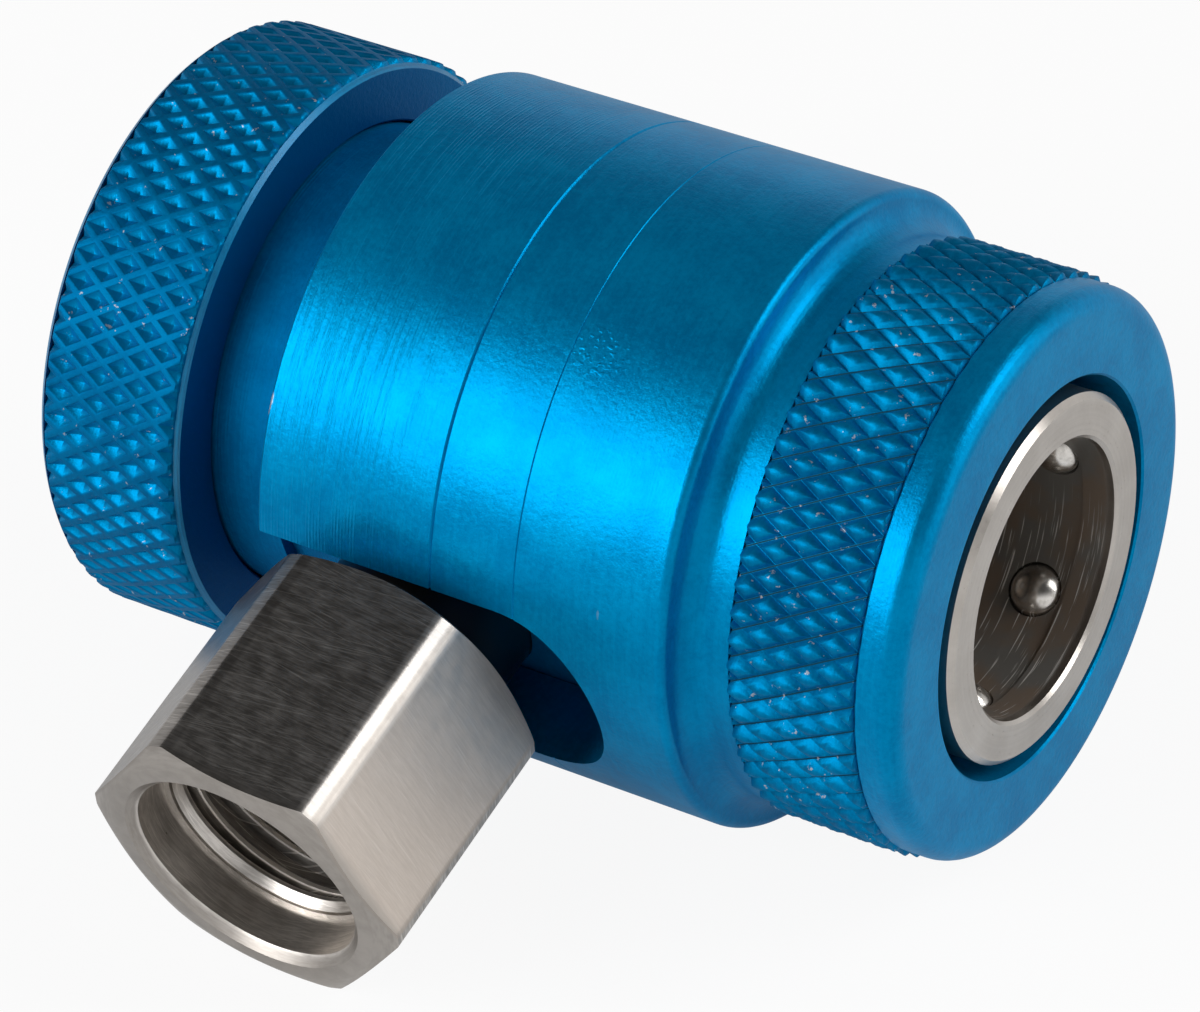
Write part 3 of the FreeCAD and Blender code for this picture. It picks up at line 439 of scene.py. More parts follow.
@dataclass(frozen=True)
class BrushedHex:
    """Stainless hexagon, brushed across the port's axis, with a few scratches. Painted shade darkens its far
    and left sides, thread and stem; painted highlights lighten its corner round, where it is also worn,
    its thread crests and its counterbore.

    edge, flank, far and left hold a direction in degrees, from the main axis' front round the port,
    and the distance past which that side lies. The other pairs hold where a mark starts and where
    it is full: hole and crest away from the port's axis, the rest along it.
    """

    name: str
    dark: Colour = (0.36, 0.335, 0.31, 1.0)
    light: Colour = (0.62, 0.585, 0.55, 1.0)
    # colour of scratches, and of painted highlights on the corner round, the thread crests and the
    # counterbore
    worn: Colour = (0.93, 0.885, 0.83, 1.0)
    matte: Colour = (0.58, 0.50, 0.43, 1.0)
    # painted shade of the hexagon's far and left sides
    shade: Colour = (0.2, 0.18, 0.165, 1.0)
    # painted shade of the thread and the stem
    deep: Colour = (0.13, 0.12, 0.11, 1.0)
    end: Colour = (0.34, 0.312, 0.285, 1.0)
    rough: float = 0.34
    line_depth: float = 0.003
    edge: Point = (51.04, 7.72)
    flank: Point = (21.04, 6.85)
    far: Point = (111.04, 7.6)
    left: Point = (141.04, 6.9)
    fade: float = 0.06
    hole: Point = (5.75, 5.6)
    crest: Point = (5.06, 5.0)
    thread: Point = (25.15, 25.0)
    stem: Point = (15.5, 15.3)
    mouth: Point = (27.3, 28.1)
    unscratched: Point = (27.9, 27.5)
    scratch_leans: Point = (0.22, -0.12)

    def material(self) -> Material:
        """Mixes the finish.

        Returns:
            The material.
        """
        mix = Recipe(self.name)
        out = mix.along(PORT_WAY)
        side = mix.along((0.0, PORT_WAY.z, -PORT_WAY.y))
        x = mix.along(FORWARDS)
        flat = mix.join(out, x, side)
        slant, tilted = (mix.join(out + x * lean, x, side) for lean in self.scratch_leans)
        streak = mix.noise((8.0, 0.45, 0.45), 3.0, 0.65, flat)
        fine = mix.noise((14.0, 1.4, 1.4), 2.0, 0.6, flat)
        mottle = mix.grain(1.3, 4.0, 0.6)
        tone = streak * 0.45 + fine * 0.35 + mottle * 0.2
        edge = self.beyond(mix, *self.edge)
        flank = self.beyond(mix, *self.flank)
        # painted shade: the far and left sides are darkened towards the shade colour
        far = (self.beyond(mix, *self.far) * 0.4).most(self.beyond(mix, *self.left) * 0.6)
        scratch = mix.noise((15.0, 0.22, 0.22), 1.0, 0.5, slant).step(0.64, 0.69)
        scratch = scratch.most(mix.noise((13.0, 0.3, 0.3), 1.0, 0.5, tilted).step(0.66, 0.7))
        scratch = scratch * (1.0 - flank * 0.85) * (1.0 - far) * out.step(*self.unscratched)
        apart = x + PORT_STATION
        radius = (apart * apart + side * side).root()
        hole = radius.step(*self.hole)
        thread = hole * out.step(*self.thread)
        crest = thread * radius.step(*self.crest)
        # real scratches, and painted highlights: the corner round, which is also worn, the thread crests and
        # the counterbore are lightened
        bright = (scratch * 0.6).most(edge * 0.4).most(crest).most((hole - thread) * 0.25)
        colour = mix.mix(tone.step(0.38, 0.62), self.dark, self.light)
        # painted shade: the thread deep in the hole and the stem down in the sleeve's slot are darkened to
        # the deep colour
        for share, other in (
                (flank * 0.75, self.matte), (far, self.shade), (thread * 0.5, self.deep), (bright, self.worn),
                (out.step(*self.stem), self.deep), (out.step(*self.mouth) * (1.0 - hole) * 0.75, self.end)):
            colour = mix.mix(share, colour, other)
        brushed = (streak * 0.5 + fine * 0.35) * (1.0 - flank * 0.7)
        return mix.surface(
            Base_Color=colour, Metallic=1.0,
            Roughness=self.rough + flank * 0.14 + edge * 0.08 + (mottle - 0.5) * 0.2 + (streak - 0.5) * 0.14,
            Normal=mix.bump(brushed + mottle * (0.15 + flank * 0.6), self.line_depth))

    def beyond(self, mix: Recipe, turn: float, distance: float) -> Wire:
        """Where the hexagon lies past a distance from the port's axis.

        Args:
            mix: The material that is being mixed.
            turn: Direction in degrees, from the main axis' front round the port.
            distance: The distance in millimetres.

        Returns:
            0 before it, 1 past it.
        """
        turn = math.radians(turn)
        way = (math.cos(turn), math.sin(turn) * PORT_WAY.z, -math.sin(turn) * PORT_WAY.y)
        start = distance - PORT_STATION * way[0]
        return mix.along(way).step(start - self.fade, start + self.fade)


@dataclass(frozen=True)
class BallSteel:
    """Polished bearing steel with faint polishing marks."""

    name: str
    dark: Colour = (0.62, 0.59, 0.55, 1.0)
    light: Colour = (0.80, 0.77, 0.73, 1.0)
    rough: float = 0.2

    def material(self) -> Material:
        """Mixes the finish.

        Returns:
            The material.
        """
        mix = Recipe(self.name)
        marks = mix.grain(2.5, 4.0, 0.6)
        colour = mix.mix(marks.step(0.4, 0.7), self.light, self.dark)
        return mix.surface(Base_Color=colour, Metallic=1.0, Roughness=self.rough + marks * 0.1)


@dataclass(frozen=True)
class PlainMetal:
    """A machined or drawn metal that is mostly out of sight."""

    name: str
    dark: Colour = (0.34, 0.33, 0.32, 1.0)
    light: Colour = (0.5, 0.49, 0.47, 1.0)
    rough: float = 0.3
    line_depth: float = 0.004

    def material(self) -> Material:
        """Mixes the finish.

        Returns:
            The material.
        """
        mix = Recipe(self.name)
        lines = mix.noise((8.0, 0.3, 0.3), 3.0, 0.6)
        grain = mix.grain(3.0, 3.0)
        tone = lines * 0.6 + grain * 0.4
        return mix.surface(
            Base_Color=mix.mix(tone.step(0.36, 0.64), self.dark, self.light), Metallic=1.0,
            Roughness=self.rough + (grain - 0.5) * 0.2, Normal=mix.bump(lines, self.line_depth))


@dataclass(frozen=True)
class SoftRing:
    """Rubber or plastic of a seal."""

    name: str
    dark: Colour
    light: Colour
    rough: float
    grain_depth: float = 0.01

    def material(self) -> Material:
        """Mixes the finish.

        Returns:
            The material.
        """
        mix = Recipe(self.name)
        grain = mix.grain(6.0, 3.0)
        dust = mix.grain(1.2, 4.0, 0.6)
        return mix.surface(
            Base_Color=mix.mix(dust.step(0.4, 0.75), self.dark, self.light),
            Roughness=self.rough + (grain - 0.5) * 0.2, Normal=mix.bump(grain, self.grain_depth))


Finish = Union[BlueAnodised, TurnedSteel, BrushedHex, BallSteel, PlainMetal, SoftRing]


# Modelling moves that several pieces share, in millimetres.
def clear() -> None:
    """Leaves edit mode and deselects everything."""
    if bpy.context.object and bpy.context.object.mode != "OBJECT":
        bpy.ops.object.mode_set(mode="OBJECT")
    bpy.ops.object.select_all(action="DESELECT")


def take(piece: Piece) -> None:
    """Makes a piece the only selected one and the active one."""
    clear()
    piece.select_set(True)
    bpy.context.view_layer.objects.active = piece


def keep(name: str) -> Piece:
    """Names the new primitive, puts its place in its mesh and opens it with all selected.

    Args:
        name: The piece's name.

    Returns:
        The object.
    """
    piece = bpy.context.object
    piece.name = piece.data.name = name
    bpy.ops.object.transform_apply(location=True, rotation=True, scale=True)
    bpy.ops.object.mode_set(mode="EDIT")
    bpy.ops.mesh.select_all(action="SELECT")
    return piece


def metres(place: Sequence[float]) -> Tuple[float, ...]:
    """A place or a way in millimetres, turned into metres."""
    return tuple(part * MM for part in place)


def circle(name: str, sides: int, radius: float, centre: Sequence[float] = ORIGIN,
           turn: Sequence[float] = ORIGIN, filled: bool = True) -> Piece:
    """Starts a piece from a circle.

    Args:
        name: The piece's name.
        sides: Number of sides.
        radius: The circle's radius.
        centre: Its centre.
        turn: Its rotation in radians, from lying flat.
        filled: Whether it has a face.

    Returns:
        The object, open with all selected.
    """
    clear()
    bpy.ops.mesh.primitive_circle_add(vertices=sides, radius=radius * MM, location=metres(centre),
                                      rotation=turn, fill_type="NGON" if filled else "NOTHING")
    return keep(name)


def extrude(way: Sequence[float] = ORIGIN) -> None:
    """Extrudes the selection along a way."""
    bpy.ops.mesh.extrude_region_move(TRANSFORM_OT_translate={"value": metres(way)})


def move(way: Sequence[float]) -> None:
    """Moves the selection along a way."""
    bpy.ops.transform.translate(value=metres(way))


def resize(shares: Sequence[float], centre: Sequence[float] = ORIGIN) -> None:
    """Resizes the selection about a centre."""
    bpy.ops.transform.resize(value=shares, center_override=metres(centre))


def turned(name: str, profile: Sequence[Point], steps: int, way: Spot = (-1.0, 0.0, 0.0)) -> Piece:
    """Turns a closed outline: a circle is extruded on from point to point.

    Args:
        name: The piece's name.
        profile: Distances along the axis and radii. The last point is the first one.
        steps: Number of sides.
        way: Direction in which the distances grow, along X or Z.

    Returns:
        The object.
    """
    across = (0.0, math.pi / 2, 0.0) if way[0] else ORIGIN
    piece = circle(name, steps, profile[0][1], [part * profile[0][0] for part in way], across, filled=False)
    for (s0, r0), (s1, r1) in zip(profile, profile[1:]):
        extrude([part * (s1 - s0) for part in way])
        if r1 != r0:
            resize([1.0 if part else r1 / r0 for part in way])
    close()
    clear()
    return piece


def wind(piece: Piece, axis: str, pitch: float, turns: int, steps: int, sides: int) -> None:
    """Winds an open piece's outline into a coil and closes its ends.

    Args:
        piece: The piece.
        axis: X or Z.
        pitch: Advance of one turn.
        turns: Number of turns.
        steps: Number of sides of one turn.
        sides: Number of sides of the outline.
    """
    take(piece)
    winding = piece.modifiers.new("wind", "SCREW")
    winding.axis, winding.screw_offset, winding.iterations = axis, pitch * MM, turns
    winding.steps = winding.render_steps = steps
    bpy.ops.object.modifier_apply(modifier=winding.name)
    bpy.ops.object.mode_set(mode="EDIT")
    bpy.ops.mesh.select_mode(type="EDGE")
    bpy.ops.mesh.select_all(action="SELECT")
    bpy.ops.mesh.fill_holes(sides=sides)
    close()


def lean(piece: Piece, turn: float, station: float = 0.0) -> None:
    """Turns a piece about the main axis and moves it back along it, in its mesh.

    Args:
        piece: The piece.
        turn: Angle in radians.
        station: How far back.
    """
    take(piece)
    piece.rotation_euler = (turn, 0.0, 0.0)
    piece.location = (-station * MM, 0.0, 0.0)
    bpy.ops.object.transform_apply(location=True, rotation=True, scale=True)


def arc(centre: Point, radius: float, start: float, end: float, steps: int) -> List[Point]:
    """Points of a round in a turning's outline.

    Args:
        centre: The round's centre, as distance along the axis and radius.
        radius: Its radius.
        start: Angle of its first point in degrees, 0 to the rear and 90 outwards.
        end: Angle of its last point.
        steps: Number of sides.

    Returns:
        The points in order.
    """
    turns = (math.radians(start + (end - start) * k / steps) for k in range(steps + 1))
    return [(centre[0] + radius * math.cos(t), centre[1] + radius * math.sin(t)) for t in turns]


def pick(test: Callable[[Vector], bool], kind: str = "VERT", rise: float = 0.0) -> None:
    """Selects what lies where a test says, in edit mode.

    Args:
        test: Takes a vertex's place. Edges and faces need all their vertices there.
        kind: VERT, EDGE or FACE.
        rise: Least height from the lowest to the highest vertex.
    """
    bpy.ops.mesh.select_all(action="DESELECT")
    bpy.ops.mesh.select_mode(type=kind)
    mesh = bpy.context.object.data
    form = bmesh.from_edit_mesh(mesh)
    for part in {"VERT": form.verts, "EDGE": form.edges, "FACE": form.faces}[kind]:
        places = [corner.co / MM for corner in ([part] if kind == "VERT" else part.verts)]
        heights = [place.z for place in places]
        part.select = all(map(test, places)) and max(heights) - min(heights) >= rise
    form.select_flush_mode()
    bmesh.update_edit_mesh(mesh)


def close(merge: float = 0.001) -> None:
    """Merges vertices that are closer than a distance and turns the faces outwards."""
    bpy.ops.mesh.select_mode(type="VERT")
    bpy.ops.mesh.select_all(action="SELECT")
    bpy.ops.mesh.remove_doubles(threshold=merge * MM)
    bpy.ops.mesh.normals_make_consistent(inside=False)


def shade(piece: Piece, sharp: float) -> Piece:
    """Leaves edit mode and shades the piece.

    Args:
        piece: The piece.
        sharp: Angle in degrees past which an edge stays crisp.

    Returns:
        The piece.
    """
    take(piece)
    bpy.ops.object.shade_smooth_by_angle(angle=math.radians(sharp))
    piece.select_set(False)
    return piece


def cut(piece: Piece, tool: Piece, operation: str = "DIFFERENCE") -> None:
    """Cuts a piece with another, which is then deleted.

    Args:
        piece: The piece that stays.
        tool: The cutter.
        operation: DIFFERENCE or INTERSECT.
    """
    take(piece)
    cutting = piece.modifiers.new("cut", "BOOLEAN")
    cutting.object, cutting.operation, cutting.solver = tool, operation, "EXACT"
    bpy.ops.object.modifier_apply(modifier=cutting.name)
    bpy.data.objects.remove(tool, do_unlink=True)


def dress(piece: Piece, material: Material, slot: Slot, body: Moving, *nodes: str) -> None:
    """Gives a new piece its finish and its carrier.

    Args:
        piece: The piece.
        material: Its finish.
        slot: Not used.
        body: What carries it.
        nodes: CAD nodes that it stands for.
    """
    piece.data.materials.clear()
    piece.data.materials.append(material)
    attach(piece, body.value)
    if nodes:
        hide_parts(*nodes)
    LOG.info("%s: %d faces, rides on %s", piece.name, len(piece.data.polygons), body.value)


@dataclass
class Knurl:
    """A rolled diamond pattern on a cylinder: one diamond, copied along and round.

    levels holds, from the diamond's edge to its middle, its size and its height as shares. A depth
    below zero gives pits. end_drop and end_slope shape the bevels of the two ends. weld is the
    distance within which diamonds join, and slack the one within which a vertex is on an end.
    """

    count: int
    step: float
    first: float
    columns: int
    radius: float
    depth: float
    land: float
    levels: Tuple[Point, ...]
    front: float
    back: float
    core: float
    end_drop: float = 0.1
    end_slope: float = 1.3
    groove: float = 0.0
    weld: float = 0.003
    slack: float = 0.002

    @property
    def half_width(self) -> float:
        """Half of a diamond's width round the cylinder."""
        return self.radius * math.sin(math.pi / self.count)

    def diamond(self, name: str) -> Piece:
        """Models the first diamond, on top of the cylinder.

        Args:
            name: The piece's name.

        Returns:
            The object, open with the diamond selected.
        """
        middle = (-self.first, 0.0, self.radius)
        piece = circle(name, 4, 1.0, middle)
        resize((self.step, self.half_width, 1.0), middle)
        pick(lambda p: abs(p.y) > self.half_width / 2)
        move((0.0, 0.0, self.radius * (math.cos(math.pi / self.count) - 1.0)))
        bpy.ops.mesh.select_mode(type="FACE")
        bpy.ops.mesh.select_all(action="SELECT")
        bpy.ops.mesh.inset(thickness=self.land * MM, depth=0.0)
        if self.groove:
            self.widen_groove()
        size, height = 1.0, 0.0
        for share, rise in self.levels:
            extrude((0.0, 0.0, self.depth * (rise - height)))
            resize((share / size, share / size, 1.0), middle)
            size, height = share, rise
        bpy.ops.mesh.select_all(action="SELECT")
        return piece

    def widen_groove(self) -> None:
        """Draws two facing edges of the inner diamond together, for a wider groove in one direction."""
        across = Vector((self.half_width, -self.step, 0.0)).normalized()
        middle = Vector((-self.first, 0.0, 0.0))
        for inwards in (-across, across):
            pick(lambda p: self.inside(p) and (p - middle).dot(inwards) < 0.0)
            move(inwards * self.groove)
        pick(self.inside, "FACE")

    def inside(self, place: Vector, share: float = 0.995) -> bool:
        """Whether a place is within a share of the first diamond's box, and so clear of its corners."""
        return abs(place.x + self.first) < self.step * share and abs(place.y) < self.half_width * share

    def roll(self, name: str) -> Piece:
        """Copies the diamond along and round, trims the ends and closes the ring.

        Args:
            name: The piece's name.

        Returns:
            The ring.
        """
        piece = self.diamond(name)
        for _ in range(self.columns - 1):
            bpy.ops.mesh.duplicate_move(TRANSFORM_OT_translate={"value": (-self.step * MM, 0.0, 0.0)})
            bpy.ops.transform.rotate(value=math.pi / self.count, orient_axis="X", center_override=ORIGIN)
        bpy.ops.mesh.select_all(action="SELECT")
        copies = self.count - 1
        bpy.ops.mesh.spin(steps=copies, dupli=True, angle=2.0 * math.pi * copies / self.count,
                          center=ORIGIN, axis=FORWARDS)
        ends = ((self.front, 1.0), (self.back, -1.0))
        for station, way in ends:
            close(self.weld)
            bpy.ops.mesh.bisect(plane_co=(-station * MM, 0.0, 0.0), plane_no=(way, 0.0, 0.0),
                                clear_outer=True, threshold=1e-8)
        close(self.weld)
        low = 1.0 - self.end_slope * self.end_drop / self.radius
        shrink = self.core / self.radius
        for station, way in ends:
            pick(lambda p: abs(p.x + station) < self.slack, "EDGE")
            extrude((way * self.end_drop, 0.0, 0.0))
            resize((1.0, low, low))
            extrude()
            resize((1.0, shrink, shrink))
        highest, lowest = self.radius + max(self.depth, 0.0), self.radius + min(self.depth, 0.0)
        between = low * (highest * shrink + lowest) / 2.0
        pick(lambda p: math.hypot(p.y, p.z) < between, "EDGE")
        bpy.ops.mesh.bridge_edge_loops()
        close(0.0)
        lean(piece, TILT)
        return piece


@dataclass
class Sleeve:
    """The sliding sleeve: turned shell with its port slot, and the knurled nose on it.

    lines holds the stations and depths of the fine grooves round the barrel, ramp the stations of
    the ball ramp's two ends.
    """

    barrel: float = 15.0
    back: float = 32.05
    edge: float = 0.15
    front: float = 0.2
    nose: float = 13.3
    nose_round: float = 1.0
    waist: float = 13.22
    cove_start: float = 9.45
    cove: float = 1.3
    crown: float = 0.45
    lines: Tuple[Point, ...] = ((18.43, 0.04), (22.79, 0.085))
    release: float = 9.378
    chamfer: float = 0.1
    land: float = 8.7
    ramp: Point = (1.002, 4.1312)
    land_back: float = 9.0
    guide: float = 11.25
    slot_end: float = 14.4
    slot_half: float = 5.0
    slot_reach: float = 20.0
    knurl_core: float = 12.95
    knurl_front: float = 2.2
    knurl_back: float = 8.5
    knurl_gap: float = 0.1
    knurl_sunk: float = 0.6
    teeth: int = 64
    tooth_step: float = 1.152
    tooth_radius: float = 13.17
    steps: int = 288
    round_steps: int = 10
    crown_steps: int = 8
    slot_steps: int = 96

    def outline(self) -> List[Point]:
        """The shell's outline: out over the nose, back along the barrel and in through the bore.

        Returns:
            Stations and radii, from the front hole's edge and back to it.
        """
        shoulder = self.cove_start + self.cove
        start = (self.front + self.chamfer, self.release)
        path: List[Point] = [start, (self.front, self.release + self.chamfer)]
        path += arc((self.front + self.nose_round, self.nose - self.nose_round), self.nose_round,
                    180, 90, self.round_steps)
        path += [(self.knurl_front - self.chamfer, self.nose), (self.knurl_front, self.nose - self.chamfer),
                 (self.knurl_front, self.knurl_core), (self.knurl_back, self.knurl_core),
                 (self.knurl_back, self.waist), (self.cove_start, self.waist)]
        path += arc((self.cove_start, self.waist + self.cove), self.cove, -90, 0, self.round_steps)[1:]
        path += arc((shoulder + self.crown, self.barrel - self.crown), self.crown, 180, 90, self.crown_steps)
        for at, depth in self.lines:
            path += [(at - depth, self.barrel), (at, self.barrel - depth), (at + depth, self.barrel)]
        path += [(self.back - self.edge, self.barrel), (self.back, self.barrel - self.edge),
                 (self.back, self.guide), (self.land_back, self.guide), (self.land_back, self.land),
                 (self.ramp[1], self.land), (self.ramp[0], self.release), start]
        return path

    def slot_tool(self) -> Piece:
        """Models the cutter of the port's slot, which is open to the rear.

        Returns:
            The cutter.
        """
        centre = self.slot_end + self.slot_half
        tool = circle("slot_tool", self.slot_steps, self.slot_half, (-centre, 0.0, 0.0),
                      turn=(PORT_TURN, 0.0, 0.0))
        pick(lambda p: p.x < -centre - 0.01)
        move((-self.slot_reach, 0.0, 0.0))
        bpy.ops.mesh.select_all(action="SELECT")
        extrude(PORT_WAY * self.slot_reach)
        close()
        clear()
        return tool

    def shell(self) -> Piece:
        """Turns the shell and mills its slot.

        Returns:
            The shell.
        """
        piece = turned("sleeve_shell", self.outline(), self.steps)
        cut(piece, self.slot_tool())
        return shade(piece, sharp=28.0)

    def nose_knurl(self) -> Piece:
        """Rolls the nose's raised diamonds.

        Returns:
            The knurled ring.
        """
        knurl = Knurl(count=self.teeth, step=self.tooth_step, first=self.knurl_front, columns=7,
                      radius=self.tooth_radius, depth=0.38, land=0.012,
                      levels=((0.74, 0.46), (0.42, 0.84), (0.16, 1.0)),
                      front=self.knurl_front + self.knurl_gap, back=self.knurl_back - self.knurl_gap,
                      core=self.knurl_core - self.knurl_sunk, groove=0.035)
        return shade(knurl.roll("nose_knurl"), sharp=50.0)

    def build(self) -> None:
        """Makes the sleeve and dresses it."""
        shell_blue = BlueAnodised("sleeve_blue")
        knurl_blue = BlueAnodised(
            "nose_knurl_blue", deep=(0.0, 0.14, 0.32, 1.0), bright=(0.0, 0.21, 0.44, 1.0), rough=0.46,
            metal=0.62, line_depth=0.006, specks=0.045,
            shaded_grooves=(self.teeth, self.tooth_step, self.knurl_front))
        dress(self.shell(), shell_blue.material(), Slot.BLUE, Moving.SLEEVE, "sleeve")
        dress(self.nose_knurl(), knurl_blue.material(), Slot.BLUE, Moving.SLEEVE)


@dataclass
class Knob:
    """The valve's hand knob: turned cup with a rim of sunk diamonds.

    seat_gap and seat_drop place the cup's front corner ahead of the diamonds, lap and lap_drop its
    rear corner behind them.
    """

    radius: float = 14.33
    front: float = 37.1
    back: float = 44.8
    face: float = 13.86
    rim: float = 14.21
    front_bevel: float = 0.25
    back_bevel: float = 0.4
    seat_gap: float = 0.03
    seat_drop: float = 0.13
    lap: float = 0.15
    lap_drop: float = 0.17
    bore: float = 11.34
    bore_edge: float = 0.1
    floor: float = 41.9
    recess: float = 5.0
    recess_edge: float = 0.15
    recess_floor: float = 43.5
    hole: float = 3.1
    core: float = 13.75
    knurl_sunk: float = 0.2
    knurl_gaps: Point = (0.09, 0.05)
    pit_edge: float = 14.27
    steps: int = 272

    def cup(self) -> Piece:
        """Turns the cup under the diamonds.

        Returns:
            The cup.
        """
        seat = self.front + self.front_bevel - self.seat_gap
        lap = self.back - self.back_bevel + self.lap
        start = (self.front, self.bore + self.bore_edge)
        path: List[Point] = [
            start, (self.front, self.face), (seat, self.rim - self.seat_drop), (seat, self.core),
            (lap, self.core), (lap, self.radius - self.lap_drop), (self.back, self.radius - self.back_bevel),
            (self.back, self.recess + self.recess_edge), (self.back - self.recess_edge, self.recess),
            (self.recess_floor, self.recess), (self.recess_floor, self.hole), (self.floor, self.hole),
            (self.floor, self.bore), (self.front + self.bore_edge, self.bore), start]
        return shade(turned("knob_cup", path, self.steps), sharp=35.0)

    def rim_knurl(self) -> Piece:
        """Rolls the rim's sunk diamonds.

        Returns:
            The knurled ring.
        """
        front, back = self.front + self.front_bevel, self.back - self.back_bevel
        knurl = Knurl(count=68, step=1.035, first=front, columns=8, radius=self.radius,
                      depth=-0.36, land=0.13, levels=((0.94, 0.04), (0.84, 0.18), (0.08, 1.0)),
                      front=front + self.knurl_gaps[0], back=back - self.knurl_gaps[1],
                      core=self.core - self.knurl_sunk, end_drop=0.13)
        return shade(knurl.roll("knob_knurl"), sharp=46.0)

    def build(self) -> None:
        """Makes the knob and dresses it."""
        # painted shade: the cup's face and everything within its radius take a much darker blue, for the
        # barrel's shadow
        cup_blue = BlueAnodised(
            "knob_blue", deep=(0.0, 0.18, 0.39, 1.0), bright=(0.0, 0.23, 0.46, 1.0), rough=0.54, metal=0.8,
            coat=0.55, zone=Zone(self.face, (0.0, 0.105, 0.29, 1.0), metal=0.58, rough=0.42))
        # painted light: the pits within pit_edge take a lighter blue than the lands, for their lit facets;
        # the lands' rougher finish is their own
        knurl_blue = BlueAnodised(
            "knob_knurl_blue", deep=(0.0, 0.11, 0.27, 1.0), bright=(0.0, 0.16, 0.36, 1.0), rough=0.56,
            metal=0.62, line_depth=0.003, specks=0.03,
            zone=Zone(self.pit_edge, (0.0, 0.215, 0.46, 1.0), metal=0.7, rough=0.44))
        dress(self.cup(), cup_blue.material(), Slot.BLUE, Moving.KNOB, "hand_knob")
        dress(self.rim_knurl(), knurl_blue.material(), Slot.BLUE, Moving.KNOB)


@dataclass
class PortFitting:
    """The hose port: bevelled hexagon on its stem, counterbore and hose thread.

    Lengths run out from the main axis. step_ring holds depths under the counterbore's floor and
    radii past the relief's. lead_in and lead_out say how far in the thread's first land ends and
    its root starts.
    """

    reach: float = 28.2
    flats: float = 14.0
    turning: float = 8.75
    spare: float = 1.0
    turn: float = 8.96
    corner: float = 0.5
    corner_round: float = 0.12
    hex_back: float = 15.5
    face: float = 6.7
    front_bevel: float = 20.0
    back_bevel: float = 30.0
    stem: float = 4.7
    stem_end: float = 10.0
    pilot: float = 3.3
    pilot_end: float = 5.2
    flow: float = 1.8
    mouth_bevel: float = 0.42
    counterbore: float = 5.58
    counterbore_floor: float = 25.7
    relief: float = 5.25
    step_ring: Tuple[Point, ...] = ((0.0, 0.06), (0.3, 0.03), (0.08, -0.04))
    thread_top: float = 25.2
    thread_floor: float = 18.0
    thread: float = 4.95
    thread_root: float = 5.45
    lead_in: float = 0.2
    lead_out: float = 0.35
    pitch: float = 1.27
    turns: int = 5
    ridge_start: float = 0.3
    ridge_sunk: float = 0.1
    ridge_crest: float = 0.2
    ridge_spread: float = 4.3
    steps: int = 144

    def hexagon(self) -> Piece:
        """Models the rounded hexagon bar that the fitting is turned from.

        Returns:
            The bar, along Z.
        """
        bar = circle("port_fitting_steel", 6, self.flats / math.sqrt(3.0),
                     turn=(0.0, 0.0, math.radians(30.0 - self.turn)))
        extrude((0.0, 0.0, self.reach + self.spare))
        for offset, segments in ((self.corner, 1), (self.corner_round, 4)):
            pick(lambda p: True, "EDGE", rise=self.reach)
            bpy.ops.mesh.bevel(offset=offset * MM, offset_type="OFFSET", segments=segments, profile=0.5,
                               affect="EDGES")
        close()
        clear()
        return bar

    def outline(self) -> List[Point]:
        """The turning's outline: out along the stem and the bevels, and in through the bore.

        Returns:
            Distances and radii, from the flow hole's inner end and back to it.
        """
        wide = self.turning
        slope = (wide - self.face) * math.tan(math.radians(self.front_bevel))
        rise = (wide - self.face) * math.tan(math.radians(self.back_bevel))
        rim = self.counterbore + self.mouth_bevel
        ring = [(self.counterbore_floor - down, self.relief + past) for down, past in self.step_ring]
        return [
            (self.pilot_end, self.flow), (self.pilot_end, self.pilot), (self.stem_end, self.pilot),
            (self.stem_end, self.stem), (self.hex_back, self.stem), (self.hex_back, self.face),
            (self.hex_back + rise, wide), (self.reach - slope, wide), (self.reach, self.face),
            (self.reach, rim), (self.reach - self.mouth_bevel, self.counterbore),
            (self.counterbore_floor, self.counterbore), *ring, (self.thread_top, self.thread),
            (self.thread_top - self.lead_in, self.thread),
            (self.thread_top - self.lead_out, self.thread_root), (self.thread_floor, self.thread_root),
            (self.thread_floor, self.flow), (self.pilot_end, self.flow)]

    def steel(self) -> Piece:
        """Turns the hexagon bar down to the fitting.

        Returns:
            The fitting.
        """
        piece = self.hexagon()
        turning = turned("port_turning", self.outline(), self.steps, way=(0.0, 0.0, 1.0))
        cut(piece, turning, "INTERSECT")
        lean(piece, PORT_TURN, PORT_STATION)
        return shade(piece, sharp=25.0)

    def ridge(self) -> Piece:
        """Winds the thread's ridge, whose foot is sunk in the wall.

        Returns:
            The ridge.
        """
        foot = self.thread_root + self.ridge_sunk
        start = self.thread_top - self.ridge_start - self.pitch * self.turns
        middle = ((self.thread + foot) / 2, 0.0, start)
        clear()
        bpy.ops.mesh.primitive_plane_add(size=MM, location=metres(middle), rotation=(math.pi / 2, 0.0, 0.0))
        coil = keep("port_thread")
        resize((foot - self.thread, 1.0, self.ridge_crest), middle)
        pick(lambda p: p.x > middle[0])
        resize((1.0, 1.0, self.ridge_spread), (foot, 0.0, start))
        bpy.ops.mesh.select_all(action="SELECT")
        bpy.ops.mesh.delete(type="ONLY_FACE")
        wind(coil, "Z", self.pitch, self.turns, steps=self.steps // 3, sides=4)
        lean(coil, PORT_TURN, PORT_STATION)
        return shade(coil, sharp=25.0)

    def build(self) -> None:
        """Makes the fitting and dresses it."""
        finish = BrushedHex("hex_steel").material()
        dress(self.steel(), finish, Slot.STEEL, Moving.FIXED, "port_fitting")
        dress(self.ridge(), finish, Slot.STEEL, Moving.FIXED)


